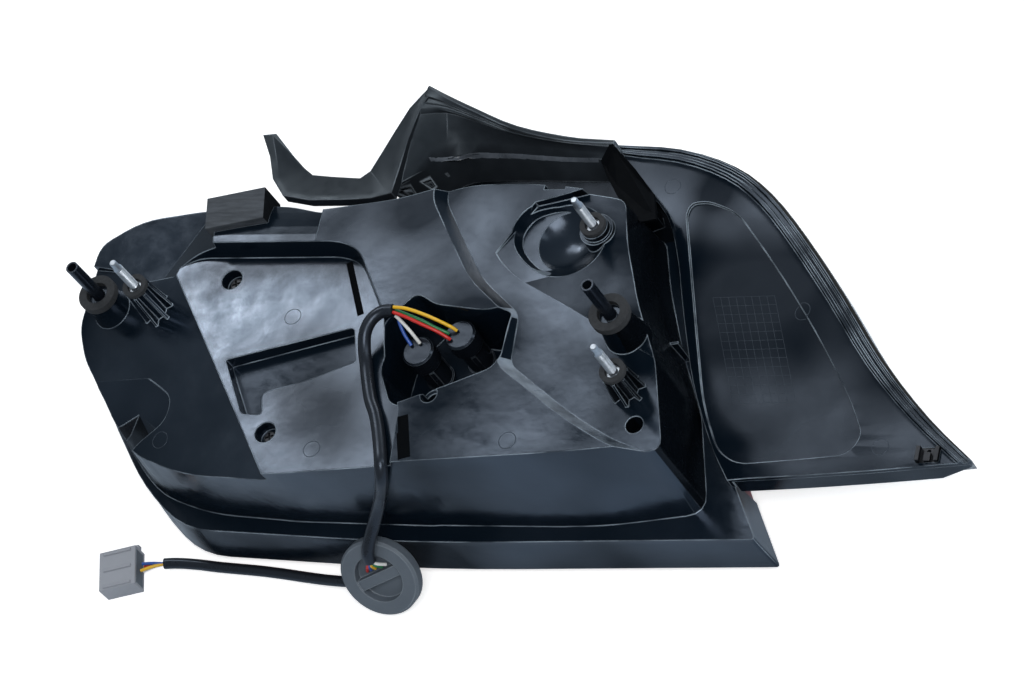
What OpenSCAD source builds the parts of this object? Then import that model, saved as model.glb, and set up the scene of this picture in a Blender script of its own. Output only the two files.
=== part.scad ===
// Tail light cluster for a car, seen from its mounting side: a moulded back housing on a lens,
// with a side panel, a matt upper trim, studs, locating pegs, two bulb holders and a harness.
// The lamp lies on its lens. +Z runs along the studs, away from the lens, and X along the lamp.

/* [Reaches, and heights above the surface] */
// Reach of the side panel's tip, to the right of the lamp's reference point
panel_reach = 297; // [289:1:305]
// Reach of the upper trim's peak, from the same point towards the upper edge
peak_reach = 142; // [138:1:146]
// Top of the ledge where the housing meets the lens
ledge_z = 38; // [32:1:44]
// Main back plane of the housing
plate_z = 112; // [100:1:124]
// Plane that the pegs' and studs' bosses reach
boss_z = 127; // [122:1:140]
// Level of the side panel at its inner edge
panel_z = 46; // [44:1:50]
// Rise of the side panel from its inner edge to its tip
panel_rise = 20; // [12:1:26]

/* [Walls] */
// Wall of the housing
wall = 3; // [2.4:0.1:3.6]
// Wall of the lenses
lens_wall = 3; // [2.4:0.1:3.6]
// Wall of the upper trim
trim_wall = 3; // [2.4:0.1:3.6]
// Thickness of the side panel
panel_wall = 3.4; // [3:0.1:4]
// Gap between pieces that fit into each other
fit_gap = 0.2; // [0.1:0.05:0.4]
// Depth of the ledge's flange
flange_t = 5; // [4:0.5:7]
// Lip of the ledge outside its seal groove
flange_lip = 1.5; // [1:0.1:2]
// Flare of the skirt and the lens towards the surface
skirt_flare = 4; // [2:0.5:5]

/* [Housing planes] */
// Drop of the left plane along its upper wall
left_drop = 13; // [8:1:16]
// Fall of the left plane towards its upper wall, in degrees
left_tilt = 3.6; // [2:0.2:5]
// Drop of the right plane
right_drop = 8; // [5:1:10]
// Fall of the far left facet, in degrees
facet_tilt = 8; // [5:0.5:11]
// Fall of the facet round the right peg, in degrees
peg_facet_tilt = 6; // [4:0.5:7]
// Depth of the long recess in the left plane
long_recess_depth = 10; // [7:0.5:11]
// Depth of the bulb holders' pocket
pocket_depth = 48; // [42:1:54]
// Radius of the bowl round the upper stud
bowl_r = 34; // [31:1:38]
// Depth of that bowl
bowl_depth = 16; // [14:0.5:18]

/* [Studs and pegs] */
// Diameter of the studs' thread
stud_d = 6; // [5:1:8]
// Length of a stud above its boss
stud_len = 32; // [26:1:38]
// Diameter of a stud's lead-in tip
stud_tip_d = 4.4; // [3.4:0.2:4.8]
// Length of a stud's tip
stud_tip_len = 7; // [5:0.5:9]
// Diameter of a stud's collar
stud_collar_d = 9; // [8:0.5:10]
// Diameter of the locating pegs
peg_d = 8; // [7:0.5:10]
// Bore in the end of a peg
peg_bore = 5.8; // [4.6:0.2:6]
// Length of a peg above its boss
peg_len = 38; // [30:1:44]
// Diameter of a peg's foot
peg_foot_d = 14; // [12.5:0.5:15]
// Outer diameter of the pegs' foam washers
peg_washer_d = 25; // [20:1:30]
// Outer diameter of the studs' foam washers
stud_washer_d = 16; // [15:0.5:18]
// Thickness of the pegs' foam washers
peg_washer_t = 5; // [4:0.5:7]
// Thickness of the studs' foam washers
stud_washer_t = 3; // [2:0.5:5]
// Diameter of the pegs' bosses
peg_boss_d = 22; // [20:0.5:24]
// Diameter of the studs' bosses at their core
stud_boss_d = 12; // [11:0.5:14]
// Reach of the fins on the studs' bosses
fin_reach = 5.5; // [4:0.5:7]
// Thickness of those fins
fin_t = 1.8; // [1.4:0.1:2.4]
// Number of fins on each of those bosses
fin_count = 7; // [5:1:9]
// Height of the upper stud's seat below the other bosses
upper_stud_drop = 22; // [18:1:24]
// Height of the left peg's seat below the other bosses
left_peg_drop = 17; // [13:1:20]

/* [Bulbs] */
// Diameter of the bulb holders' caps
cap_d = 20; // [18:0.5:21]
// Height of those caps
cap_h = 13; // [11:0.5:15]
// Diameter of the bulb holders' bodies
holder_d = 16; // [14:0.5:17]
// Height of the holders' bodies above the pocket's floor
holder_h = 26; // [22:1:28]
// Diameter of the bulbs' glass
bulb_d = 18; // [14:0.5:19]
// Length of a bulb's glass
bulb_len = 27; // [24:1:28]

/* [Screws and holes] */
// Diameter of the screws' round recesses
screw_recess_d = 14; // [12.5:0.5:16]
// Depth of those recesses
screw_recess_depth = 9; // [7:0.5:10]
// Diameter of the screw heads
screw_head_d = 10; // [8:0.5:11]
// Diameter of the screws' shanks
screw_d = 4; // [3:0.5:5]
// Length of the screws' shanks
screw_len = 15; // [12:1:18]
// Diameter of the plain holes
plain_hole_d = 11; // [9:0.5:12]

/* [Foam block] */
// Length of the foam block
foam_len = 40; // [34:1:46]
// Width of the foam block
foam_w = 22; // [18:1:26]
// Height of the foam block
foam_h = 22; // [18:1:28]

/* [Harness] */
// Diameter of the harness's sheath above the grommet
sheath_d = 8; // [7:0.5:9]
// Diameter of the sheath below the grommet
tail_d = 7; // [6:0.5:8]
// Diameter of a single wire
wire_d = 2.2; // [1.8:0.1:2.6]
// Outer diameter of the grommet
grommet_d = 52; // [48:1:54]
// Thickness of the grommet
grommet_t = 9; // [8:0.5:11]
// Diameter of the grommet's opening
grommet_bore = 32; // [26:1:32]
// Width of the bar across the grommet's opening
grommet_bar = 7; // [5:0.5:9]
// Length of the connector's shell
connector_len = 25; // [22:1:28]
// Width of the connector's shell
connector_w = 27; // [24:1:30]
// Height of the connector's shell
connector_h = 13; // [11:0.5:15]

/* [Hidden] */

big = 400;
tiny = 0.01;
round_steps = 4;

// Moves every piece so that the origin lies under the middle of the lamp's box
middle = [7.5, 2.7, 0];

// Places in plan
peg_left_at = [-279, -16];
stud_left_at = [-243, -19];
peg_right_at = [85, -40];
stud_lower_at = [94.5, -77];
stud_upper_at = [48.5, 33];
bulb_at = [[-52, -49], [-26.5, -38]];
screw_upper_at = [-194, 1];
screw_lower_at = [-138, -108];
plain_hole_at = [[-31, -84], [103, -99]];
foam_at = [-195, 43];
foam_turn = 11;

// Outlines, each corner as [x, y, length cut off for its round]
plate_outline = [
    [-246, -103, 4], [-232, -116, 8], [-193, -131, 20], [-132, -137, 6], [-33, -128, 6],
    [63, -121, 20], [123, -114, 7], [107, -57, 4], [86, -17, 10], [69, 24, 10], [60, 55, 6],
    [22, 61, 8], [-3, 63, 8], [-40, 63, 12], [-84, 50, 12], [-138, 43, 6], [-165, 50, 10],
    [-225, 50, 10], [-270, 43, 14], [-296, 26, 8], [-298, 6, 8], [-301, -26, 8],
    [-291, -48, 8], [-279, -62, 4], [-265, -80, 4]
];
foot_outline = [
    [-268, -96, 8], [-244, -118, 14], [-206, -130, 20], [-140, -134, 10], [-33, -135, 10],
    [63, -134, 20], [129, -124, 14], [112, -60, 4], [91, -17, 10], [74, 26, 10], [64, 60, 6],
    [22, 68, 8], [-3, 70, 8], [-41, 70, 12], [-85, 58, 12], [-138, 52, 6], [-166, 58, 10],
    [-226, 58, 10], [-274, 50, 14], [-301, 30, 8], [-303, 6, 8], [-305, -28, 8],
    [-296, -51, 8], [-286, -66, 4], [-276, -82, 4]
];
lens_outline = [
    [-258, -113, 24], [-222, -141, 20], [-60, -147, 60], [162, -139.5, 3], [142, -104, 8],
    [119, -60, 10], [98, -12, 10], [83, 28, 10], [74, 66, 10], [50, 112, 10], [-92, 112, 8],
    [-122, 84, 10], [-158, 70, 20], [-270, 66, 26], [-310, 38, 16], [-314, -10, 20], [-301, -57, 20]
];

// Corners rounded with a parabola that leaves the cut length along each side
function corner(a, b, c) =
    let (
        p = [b.x, b.y],
        from_a = [a.x, a.y] - p,
        to_c = [c.x, c.y] - p,
        cut = min(b[2], 0.48 * norm(from_a), 0.48 * norm(to_c)),
        s = p + from_a * cut / norm(from_a),
        e = p + to_c * cut / norm(to_c)
    )
    [for (i = [0 : round_steps])
        let (t = i / round_steps)
        (1 - t) * (1 - t) * s + 2 * t * (1 - t) * p + t * t * e];
function rounded(pts) =
    let (n = len(pts)) [for (i = [0 : n - 1]) each corner(pts[(i + n - 1) % n], pts[i], pts[(i + 1) % n])];

// Left-hand normal of a closed outline at one of its points, scaled to keep an inset even
function normal_at(pts, i) =
    let (
        n = len(pts),
        before = pts[i] - pts[(i + n - 1) % n],
        after = pts[(i + 1) % n] - pts[i],
        u = [-before.y, before.x] / max(norm(before), tiny),
        v = [-after.y, after.x] / max(norm(after), tiny),
        m = (u + v) / max(norm(u + v), tiny)
    )
    m / max(m * u, 0.5);
function inset(pts, d) = [for (i = [0 : len(pts) - 1]) pts[i] + d * normal_at(pts, i)];
// The same for an outline whose corners are still to be rounded
function ring_in(outline, d) =
    let (plan = [for (p = outline) [p.x, p.y]], moved = inset(plan, d))
    rounded([for (i = [0 : len(outline) - 1]) [moved[i].x, moved[i].y, outline[i][2]]]);
function lift(pts, z) = [for (p = pts) [p.x, p.y, z]];
function reversed(pts) = [for (i = [len(pts) - 1 : -1 : 0]) pts[i]];
function flat(lists) = [for (l = lists) each l];

// Smooth open curve through points, with the given steps between neighbours
function through(pts, steps) =
    let (n = len(pts))
    [
        for (i = [0 : n - 2], k = [0 : i == n - 2 ? steps : steps - 1])
            let (
                t = k / steps,
                p0 = i == 0 ? 2 * pts[0] - pts[1] : pts[i - 1],
                p3 = i == n - 2 ? 2 * pts[n - 1] - pts[n - 2] : pts[i + 2]
            )
            0.5 * (2 * pts[i] + t * (pts[i + 1] - p0)
                + t * t * (2 * p0 - 5 * pts[i] + 4 * pts[i + 1] - p3)
                + t * t * t * (3 * pts[i] - 3 * pts[i + 1] + p3 - p0))
    ];

// Solid between closed rings of equal length, the lowest first
module loft(rings) {
    n = len(rings[0]);
    last = len(rings) - 1;
    polyhedron(
        points = flat(rings),
        faces = concat(
            [[for (i = [0 : n - 1]) i]],
            [for (k = [0 : last - 1], i = [0 : n - 1]) [k * n + i, (k + 1) * n + i, k * n + (i + 1) % n]],
            [for (k = [0 : last - 1], i = [0 : n - 1])
                [(k + 1) * n + i, (k + 1) * n + (i + 1) % n, k * n + (i + 1) % n]],
            [[for (i = [n - 1 : -1 : 0]) last * n + i]]
        )
    );
}

// Tube of a cord along hand-placed points
module tube(route, d, sides) {
    n = len(route);
    rings = [
        for (i = [0 : n - 1])
            let (
                a = route[max(i - 1, 0)],
                b = route[min(i + 1, n - 1)],
                dir = (b - a) / norm(b - a),
                side = cross(dir, [0.37, -0.61, 0.7]),
                u = side / norm(side),
                v = cross(dir, u)
            )
            [for (k = [0 : sides - 1])
                route[i] + (cos(k * 360 / sides) * u + sin(k * 360 / sides) * v) * d / 2]
    ];
    loft(rings);
}

// Flat solid of a rounded outline between two heights
module slab(outline, low, high) {
    translate([0, 0, low]) linear_extrude(high - low) polygon(outline);
}

plate_ring = rounded(plate_outline);
foot_ring = rounded(foot_outline);
lens_ring = rounded(lens_outline);
crease_fall = 6;
facet_from = [-236, 6];
facet_turn = 216;
left_from_y = 18;
left_floor_z = plate_z - left_drop;
function left_z(y) = left_floor_z - (y - left_from_y) * tan(left_tilt);
right_z = plate_z - right_drop;
pocket_z = plate_z - pocket_depth;

// The left plane's floor, in plan from the foot of its upper wall
left_plane = [
    [-120, -178, 1], [-44, -178, 1], [-50, -112, 6], [-57, -100, 6], [-70, -82, 6],
    [-76, -50, 8], [-105, -6, 8], [-120, -1, 8], [-222, -1, 8], [-244, -14, 6]
];
right_plane = [
    [160, -135, 1], [160, 100, 1], [-56, 100, 1], [-55, 52, 6], [-36, 24, 10], [-18, -2, 10],
    [12, -26, 6], [14, -60, 6], [62, -93, 18], [92, -109, 6], [128, -121, 5]
];
peg_facet = [
    [160, -84, 1], [160, 90, 1], [58, 90, 1], [52, 65, 6], [21, 55, 16], [-9, 47, 14], [-20, 31, 14],
    [-13, 14, 12], [4, -1, 8], [39, -19, 1]
];
facet_area = [
    [-100, -200], [-133, -136], [-236, 6], [-262, 3], [-282, 10], [-312, 14], [-340, 14], [-340, -200]
];
corner_area = [
    [-202, -8], [-216, 70], [-340, 70], [-340, 12], [-312, 12], [-282, 8], [-262, 1], [-236, 4]
];
corner_from = [-203, 0];
corner_turn = 158;
corner_tilt = 21;
corner_floor_z = 99;
corner_floor_from = [-300, 20];
peg_facet_turn = -28;
leaf = [
    [5, 10.5, 8], [18, 1.5, 7], [35, 12, 8], [49, 30, 8], [40, 49.5, 8], [19, 54, 12], [0, 47.5, 12],
    [-7, 33.5, 10], [-4.5, 21, 10]
];
leaf_depth = 9;
leaf_slope = 4;
bowl_at = [30, 28];
long_recess = [
    [-181, -57, 2], [-173, -71, 3], [-159, -95, 3], [-144, -96, 4], [-149, -80, 6],
    [-122, -72, 3], [-90, -58, 3], [-98, -34, 3]
];
pocket = [
    [-72, -64, 5], [-60, -86, 4], [-53, -89, 4], [-38, -83, 4], [-20, -76, 4], [5, -65, 4],
    [9, -58, 4], [9, -25, 5], [-6, -28.8, 5], [-18, -27.6, 5], [-41.7, -24.6, 5], [-55, -17, 5],
    [-71, -36, 6]
];
scoop = [
    [-330, -42, 2], [-285, -50, 8], [-241, -63, 12], [-218, -78, 12], [-219, -94, 12], [-236, -108, 4],
    [-252, -130, 2], [-330, -130, 2]
];
scoop_fall = 22;
scoop_pit = [
    [-258, -92, 3], [-236, -82, 6], [-221, -80, 10], [-220, -94, 10], [-237, -107, 4], [-252, -130, 2],
    [-300, -130, 2], [-300, -100, 2]
];
scoop_pit_fall = 55;

// What the planes of the housing's back leave out, grown by g all round
module back_planes(g) {
    intersection() {
        linear_extrude(big) polygon(inset(facet_area, -g));
        translate([facet_from.x, facet_from.y, left_z(facet_from.y) - g])
            rotate([0, facet_tilt, facet_turn]) translate([-big / 2, -big / 2, 0]) cube([big, big, 60]);
    }
    intersection() {
        linear_extrude(big) polygon(inset(corner_area, -g));
        translate([corner_from.x, corner_from.y, plate_z - g]) rotate([0, 0, corner_turn])
            rotate([0, corner_tilt, 0]) translate([-20, -big / 2, 0]) cube([big, big, 60]);
        translate([corner_floor_from.x, corner_floor_from.y, corner_floor_z - g]) rotate([4, 2, 0])
            translate([-big / 2, -big / 2, 0]) cube([big, big, 60]);
    }
    translate([0, left_from_y, left_floor_z - g]) rotate([-left_tilt, 0, 0])
        loft([
            lift(inset(rounded(left_plane), -g), 0), lift(inset(rounded(left_plane), -g - crease_fall), 24)
        ]);
    loft([
        lift(inset(rounded(right_plane), -g), right_z - g),
        lift(inset(rounded(right_plane), -g - crease_fall), right_z - g + right_drop),
        lift(inset(rounded(right_plane), -g - crease_fall), plate_z + 10)
    ]);
    intersection() {
        linear_extrude(big) polygon(inset(rounded(peg_facet), -g));
        translate([peg_facet[0].x, peg_facet[0].y, right_z - g])
            rotate([0, 0, peg_facet_turn]) rotate([-peg_facet_tilt, 0, 0])
            translate([-big / 2, 0, 0]) cube([big, big, 60]);
    }
}

// Soft shoulder along the upper left edge
shoulder_from = 20;
shoulder_r = 60;
shoulder_ends = [-340, -135];
module shoulder_cut(g) {
    translate([shoulder_ends[0], 0, plate_z - g]) rotate([90, 0, 90])
        linear_extrude(shoulder_ends[1] - shoulder_ends[0]) polygon(concat(
            [for (a = [0 : 6 : 36]) [shoulder_from + shoulder_r * sin(a), -shoulder_r * (1 - cos(a))]],
            [[90, -30], [90, 20], [shoulder_from, 20]]
        ));
}

// Recesses moulded into the back, grown by g all round
pocket_draft = 1.5;
module recesses(g) {
    translate([0, 0, left_z(-60) - long_recess_depth - g])
        linear_extrude(40) polygon(inset(rounded(long_recess), -g));
    loft([
        lift(inset(rounded(pocket), pocket_draft - g), pocket_z - g),
        lift(inset(rounded(pocket), -g), plate_z - 3),
        lift(inset(rounded(pocket), -g - 2), plate_z + 1),
        lift(inset(rounded(pocket), -g - 2), plate_z + 20)
    ]);
    loft([
        lift(ring_in(leaf, leaf_slope - g), right_z - leaf_depth - g),
        lift(ring_in(leaf, -g), right_z + 0.5), lift(ring_in(leaf, -g), right_z + 40)
    ]);
    translate([bowl_at.x, bowl_at.y, right_z - bowl_depth + bowl_r]) sphere(r = bowl_r + g, $fn = 96);
    for (at = [screw_upper_at, screw_lower_at])
        translate([at.x, at.y, screw_seat_z(at) - g])
            cylinder(d = screw_recess_d + 2 * g, h = 40, $fn = 48);
    intersection() {
        linear_extrude(big) polygon(inset(reversed(rounded(scoop)), -g));
        translate([-262, -57, 94 - g]) rotate([0, 0, -106]) rotate([0, scoop_fall, 0])
            translate([-12, -big / 2, 0]) cube([big, big, 90]);
    }
    intersection() {
        linear_extrude(big) polygon(inset(reversed(rounded(scoop_pit)), -g));
        translate([-247, -85, 84 - g]) rotate([0, 0, -118]) rotate([0, scoop_pit_fall, 0])
            translate([-8, -big / 2, 0]) cube([big, big, 90]);
    }
    translate([foam_at.x, foam_at.y, foam_seat_z - g]) rotate([0, 0, foam_turn])
        translate([-foam_len / 2 - fit_gap - g, -foam_w / 2 - fit_gap - g, 0])
            cube([foam_len + 2 * fit_gap + 2 * g, big, 60]);
}
function screw_seat_z(at) = left_z(at.y) - screw_recess_depth;
foam_seat_z = plate_z - 18;

module box_body(g) {
    difference() {
        loft([
            lift(inset(foot_ring, g), ledge_z - flange_t - (g > 0 ? 1 : 0)),
            lift(inset(plate_ring, g), plate_z - g)
        ]);
        back_planes(g);
        shoulder_cut(g);
        recesses(g);
    }
}

// A boss with tapered fins round its core, as under a stud
module finned_boss(at, low) {
    translate([at.x, at.y, low]) {
        cylinder(d = stud_boss_d, h = boss_z - low, $fn = 48);
        for (k = [0 : fin_count - 1])
            rotate([0, 0, k * 360 / fin_count + 20]) rotate([90, 0, 0])
                translate([0, 0, -fin_t / 2]) linear_extrude(fin_t)
                    polygon([
                        [0, 0], [stud_boss_d / 2 + fin_reach, 0],
                        [stud_boss_d / 2 + fin_reach * 0.4, boss_z - low - 1], [0, boss_z - low - 1]
                    ]);
    }
}
module round_boss(at, low, high, d) {
    translate([at.x, at.y, low]) cylinder(d = d, h = high - low, $fn = 64);
    translate([at.x, at.y, low]) cylinder(d1 = d + 6, d2 = d, h = (high - low) * 0.7, $fn = 64);
}
left_boss_low = 86;
right_boss_low = right_z - 8;
upper_boss_z = boss_z - upper_stud_drop;
left_peg_z = boss_z - left_peg_drop;
upper_boss_low = right_z - bowl_depth;
plug_d = peg_d + 2;
plug_len = 12;
stud_root = 18;

module bosses() {
    round_boss(peg_left_at, left_boss_low, left_peg_z, peg_boss_d);
    finned_boss(stud_left_at, left_boss_low);
    round_boss(peg_right_at, right_boss_low, boss_z, peg_boss_d);
    finned_boss(stud_lower_at, right_boss_low);
    translate([stud_upper_at.x, stud_upper_at.y, upper_boss_low]) {
        cylinder(d = stud_washer_d + 1.6, h = upper_boss_z - upper_boss_low, $fn = 64);
        cylinder(d = stud_washer_d + 5.6, h = upper_boss_z - upper_boss_low - 4, $fn = 64);
    }
}

// What stands on the inner side of the housing's skin
module inner_bosses() {
    translate([stud_upper_at.x, stud_upper_at.y, upper_boss_z - stud_root - wall])
        cylinder(d = stud_boss_d, h = stud_root, $fn = 48);
    for (at = plain_hole_at)
        translate([at.x, at.y, right_z - 14]) cylinder(d = plain_hole_d + 2 * wall, h = 12, $fn = 48);
}

// Thin ribs between the box and the side panel's inner edge
rib_t = 1.6;
rib_top_z = 60;
module gap_ribs() {
    translate([66, -27.4, ledge_z - tiny]) rotate([0, 0, 9]) cube([32, rib_t, rib_top_z - ledge_z]);
    for (r = [[[40, 75.4], -41, 14], [[50.8, 66], 21, 10.6], [[60.7, 69.8], 113, 7]])
        translate([r[0].x, r[0].y, ledge_z - tiny]) rotate([0, 0, r[1]]) cube([r[2], rib_t, 52 - ledge_z]);
}
module boss_holes() {
    for (p = [[peg_left_at, left_peg_z], [peg_right_at, boss_z]])
        translate([p[0].x, p[0].y, p[1] - plug_len])
            cylinder(d = plug_d + 2 * fit_gap, h = plug_len + 1, $fn = 48);
    for (p = [[stud_left_at, boss_z], [stud_lower_at, boss_z], [stud_upper_at, upper_boss_z]])
        translate([p[0].x, p[0].y, p[1] - stud_root])
            cylinder(d = stud_d + 2 * fit_gap, h = stud_root + 1, $fn = 48);
    for (at = plain_hole_at)
        translate([at.x, at.y, right_z - 20]) cylinder(d = plain_hole_d, h = 60, $fn = 48);
    for (at = [screw_upper_at, screw_lower_at])
        translate([at.x, at.y, screw_seat_z(at) - wall - 1])
            cylinder(d = screw_d + 2 * fit_gap, h = wall + 2, $fn = 32);
    for (at = bulb_at)
        translate([at.x, at.y, pocket_z - wall - 1])
            cylinder(d = holder_neck_d + 2 * fit_gap, h = wall + 2, $fn = 48);
}

// Ledge round the box's foot, with the groove that takes the lens's edge and its seal
groove_d = lens_wall + 2 * fit_gap;
groove_depth = 2;
module ledge() {
    difference() {
        slab(lens_ring, ledge_z - flange_t, ledge_z);
        slab(inset(foot_ring, wall), ledge_z - flange_t - 1, ledge_z + 1);
    }
}
module groove() {
    top = ledge_z - flange_t + groove_depth;
    difference() {
        slab(ring_in(lens_outline, flange_lip), ledge_z - flange_t - 3, top);
        slab(ring_in(lens_outline, flange_lip + groove_d), ledge_z - flange_t - 4, top + 1);
    }
}

// Skirt that hangs from the ledge's lip along the lower edge, over the lens's side
skirt_low_z = 7;
skirt_area = [[-400, -48], [-400, -300], [300, -300], [300, -101], [0, -101], [-240, -48]];
function flared(d, z) =
    ring_in(lens_outline, d - skirt_flare * (ledge_z - flange_t - z) / (ledge_z - flange_t));
module skirt() {
    top = ledge_z - flange_t + groove_depth;
    intersection() {
        difference() {
            loft([lift(flared(0, skirt_low_z), skirt_low_z), lift(flared(0, top), top)]);
            loft([
                lift(flared(flange_lip, skirt_low_z - 1), skirt_low_z - 1),
                lift(flared(flange_lip, top + 1), top + 1)
            ]);
        }
        linear_extrude(big) polygon(skirt_area);
    }
}

notch_at = [9, 63.5];
notch_w = 14;
module housing() {
    color("#15171a") translate(middle) difference() {
        union() {
            difference() {
                union() {
                    box_body(0);
                    bosses();
                }
                box_body(wall);
                translate([notch_at.x, notch_at.y - 4, right_z - 20]) cube([notch_w, 40, 60]);
            }
            ledge();
            skirt();
            inner_bosses();
            gap_ribs();
        }
        boss_holes();
        groove();
    }
}

// The side panel's two long edges, row by row from its lower edge
panel_inner = through([
    [141, -106], [129, -88], [117, -66], [105, -40], [95, -12], [86, 16], [77, 45], [64, 74], [40, 98]
], 3);
panel_outer = through([
    [panel_reach, -101], [panel_reach - 36, -69], [panel_reach - 71, -31], [panel_reach - 105, 14],
    [158, 56], [129, 87], [101, 107], [64, 120], [20, 124]
], 3);
rows = len(panel_inner);
function panel_surface(p) = panel_z + panel_rise * pow(max(0, p.x - 60) / 240, 2);

// Point of a panel row at a distance in from the outer edge, or out of it
function panel_point(row, d) =
    let (
        a = panel_outer[row],
        b = panel_inner[row],
        dir = (b - a) / norm(b - a)
    )
    a + dir * d;
function row_width(row) = norm(panel_inner[row] - panel_outer[row]);

// Columns across the panel: distance from the outer edge and height over its surface
rim = [
    [0, 0.6], [1.6, 0.6], [2.4, -1.4], [4.6, -1.4], [5.4, 1.4], [7.4, 1.4], [8.6, -0.6], [11, -0.2], [14, 0]
];
rim_w = rim[len(rim) - 1][0];
inner_shares = [0.35, 0.65, 0.9, 1];
function column_d(row, c) =
    c < len(rim) ? rim[c][0] : rim_w + (row_width(row) - rim_w) * inner_shares[c - len(rim)];
function column_h(c) = c < len(rim) ? rim[c][1] : c == len(rim) + 3 ? -1.2 : 0;
columns = len(rim) + len(inner_shares);

// Curved sheet over the panel's plan, between the columns' heights and a lower face
module panel_sheet(low) {
    above = function (row)
        [for (c = [0 : columns - 1])
            let (p = panel_point(row, column_d(row, c))) [p.x, p.y, panel_surface(p) + column_h(c)]];
    below = function (row)
        [for (c = [0 : columns - 1])
            let (p = panel_point(row, column_d(row, c))) [p.x, p.y, panel_surface(p) + low]];
    loft([for (row = [0 : rows - 1]) concat(below(row), reversed(above(row)))]);
}

// Plain solid over the panel's plan: out past its outer edge, in from its inner edge, in from its
// first row and from the plane where it stops, between two heights over its surface
module panel_block(out, in, first, last, low, high) {
    steps = 5;
    edge = function (row)
        let (w = row_width(row) - in + out)
        [for (c = [0 : steps]) panel_point(row, -out + w * c / steps)];
    ring = function (pts) [
        each [for (p = pts) [p.x, p.y, panel_surface(p) + low]],
        each [for (p = reversed(pts)) [p.x, p.y, panel_surface(p) + high]]
    ];
    intersection() {
        loft([for (row = [0 : rows - 1]) ring(edge(row))]);
        panel_end(0) translate([-big, -2 * big - first, -big]) cube(2 * big);
        translate([panel_stop_x + last, -big, -big]) cube(2 * big);
    }
}
panel_stop_x = 70;

// Frame on the end of a row: X along the row inwards
module panel_end(row) {
    d = panel_inner[row] - panel_outer[row];
    translate([panel_outer[row].x, panel_outer[row].y, 0]) rotate([0, 0, atan2(d.y, d.x)]) children();
}

pad_outline = [
    [77, 74, 5], [79, 82, 4], [90, 83, 6], [111, 75, 14], [144, 37, 30],
    [panel_reach - 118, -8, 30], [panel_reach - 86, -55, 24], [panel_reach - 73, -80, 8],
    [panel_reach - 81, -92, 8], [146, -96, 8], [131, -87, 8], [115, -56, 24], [95, 12, 24]
];
pad_depth = 2;
panel_skirt_t = 3;
panel_lip_h = 17;
module side_panel() {
    color("#17191c") translate(middle) difference() {
        union() {
            panel_sheet(-panel_wall);
            panel_skirt();
            lower_lip();
        }
        intersection() {
            linear_extrude(big) polygon(reversed(rounded(pad_outline)));
            panel_block(-8, 2, 1, 1, -pad_depth, 20);
        }
        clip_seat();
    }
}

// Wall from the panel's inner edge down to the ledge
module panel_skirt() {
    foot = ledge_z + fit_gap / 2;
    loft([
        for (row = [0 : rows - 1])
            let (
                a = panel_point(row, row_width(row)),
                b = panel_point(row, row_width(row) - panel_skirt_t)
            )
            [
                [a.x, a.y, panel_surface(a) - 2], [b.x, b.y, panel_surface(b) - 2],
                [b.x, b.y, foot], [a.x, a.y, foot]
            ]
    ]);
}

// Lip that hangs from the panel's lower edge, over the lens's side
module lower_lip() {
    shares = [0.01, 0.15, 0.3, 0.45, 0.6, 0.72, 0.84, 0.93, 0.98];
    step = 0.3;
    loft([
        for (t = shares)
            let (
                p = panel_point(0, row_width(0) * t),
                z = panel_surface(p),
                low = z - panel_lip_h * min(1, 0.35 + t * 5)
            )
            [
                [p.x, p.y + step, z - 1], [p.x, p.y + 3, z - 1],
                [p.x, p.y + 3, low], [p.x, p.y + step, low]
            ]
    ]);
}

clip_at = [panel_reach - 28, -95];
clip_size = [14, 9, 5];
module clip_seat() {
    translate([
        clip_at.x - clip_size.x / 2 - fit_gap, clip_at.y - clip_size.y / 2 - fit_gap,
        panel_surface(clip_at) - 2
    ])
        cube([clip_size.x + 2 * fit_gap, clip_size.y + 2 * fit_gap, 20]);
}

// Spring clip pressed into the panel near its tip
module panel_clip() {
    base_z = panel_surface(clip_at) - 2 + fit_gap;
    color("#2a2c2f") translate(middle) translate([clip_at.x, clip_at.y, base_z]) difference() {
        union() {
            translate([-clip_size.x / 2, -clip_size.y / 2, 0]) cube([clip_size.x, clip_size.y, 1.6]);
            for (side = [-1, 1])
                translate([side * (clip_size.x / 2 - 1.2) - 1.2, -clip_size.y / 2, 0])
                    cube([2.4, clip_size.y, clip_size.z]);
            translate([-2, -clip_size.y / 2, 0]) cube([4, clip_size.y * 0.6, clip_size.z * 0.8]);
        }
        translate([0, clip_size.y / 4, -1]) cylinder(d = 2.6, h = clip_size.z, $fn = 24);
    }
}

// Upper trim's body: foot on the ledge, fold and rim, each from the right end to the left
trim_foot = through([[34, 102], [-10, 103], [-40, 104], [-64, 104], [-84, 101], [-111, 80]], 3);
trim_fold = through([
    [30.2, 109, 50], [-12, 114.5, 53], [-50, 115, 56], [-68, 113, 58], [-88, 107, 62], [-112, 76, 80]
], 3);
trim_rim = through([
    [24, 119, 58], [-8, 119.5, 63], [-40, 124, 70], [-66, peak_reach - 10, 79],
    [-84, peak_reach - 4, 86], [-95, peak_reach, 91]
], 3);
// Profile over the body near its rim: share of the way from the fold, and height over it
trim_profile = [
    [0.25, -1], [0.5, -1.4], [0.74, -0.8], [0.79, 1], [0.84, 1], [0.86, -0.2], [0.9, -0.2], [0.92, 1.6]
];
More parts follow.
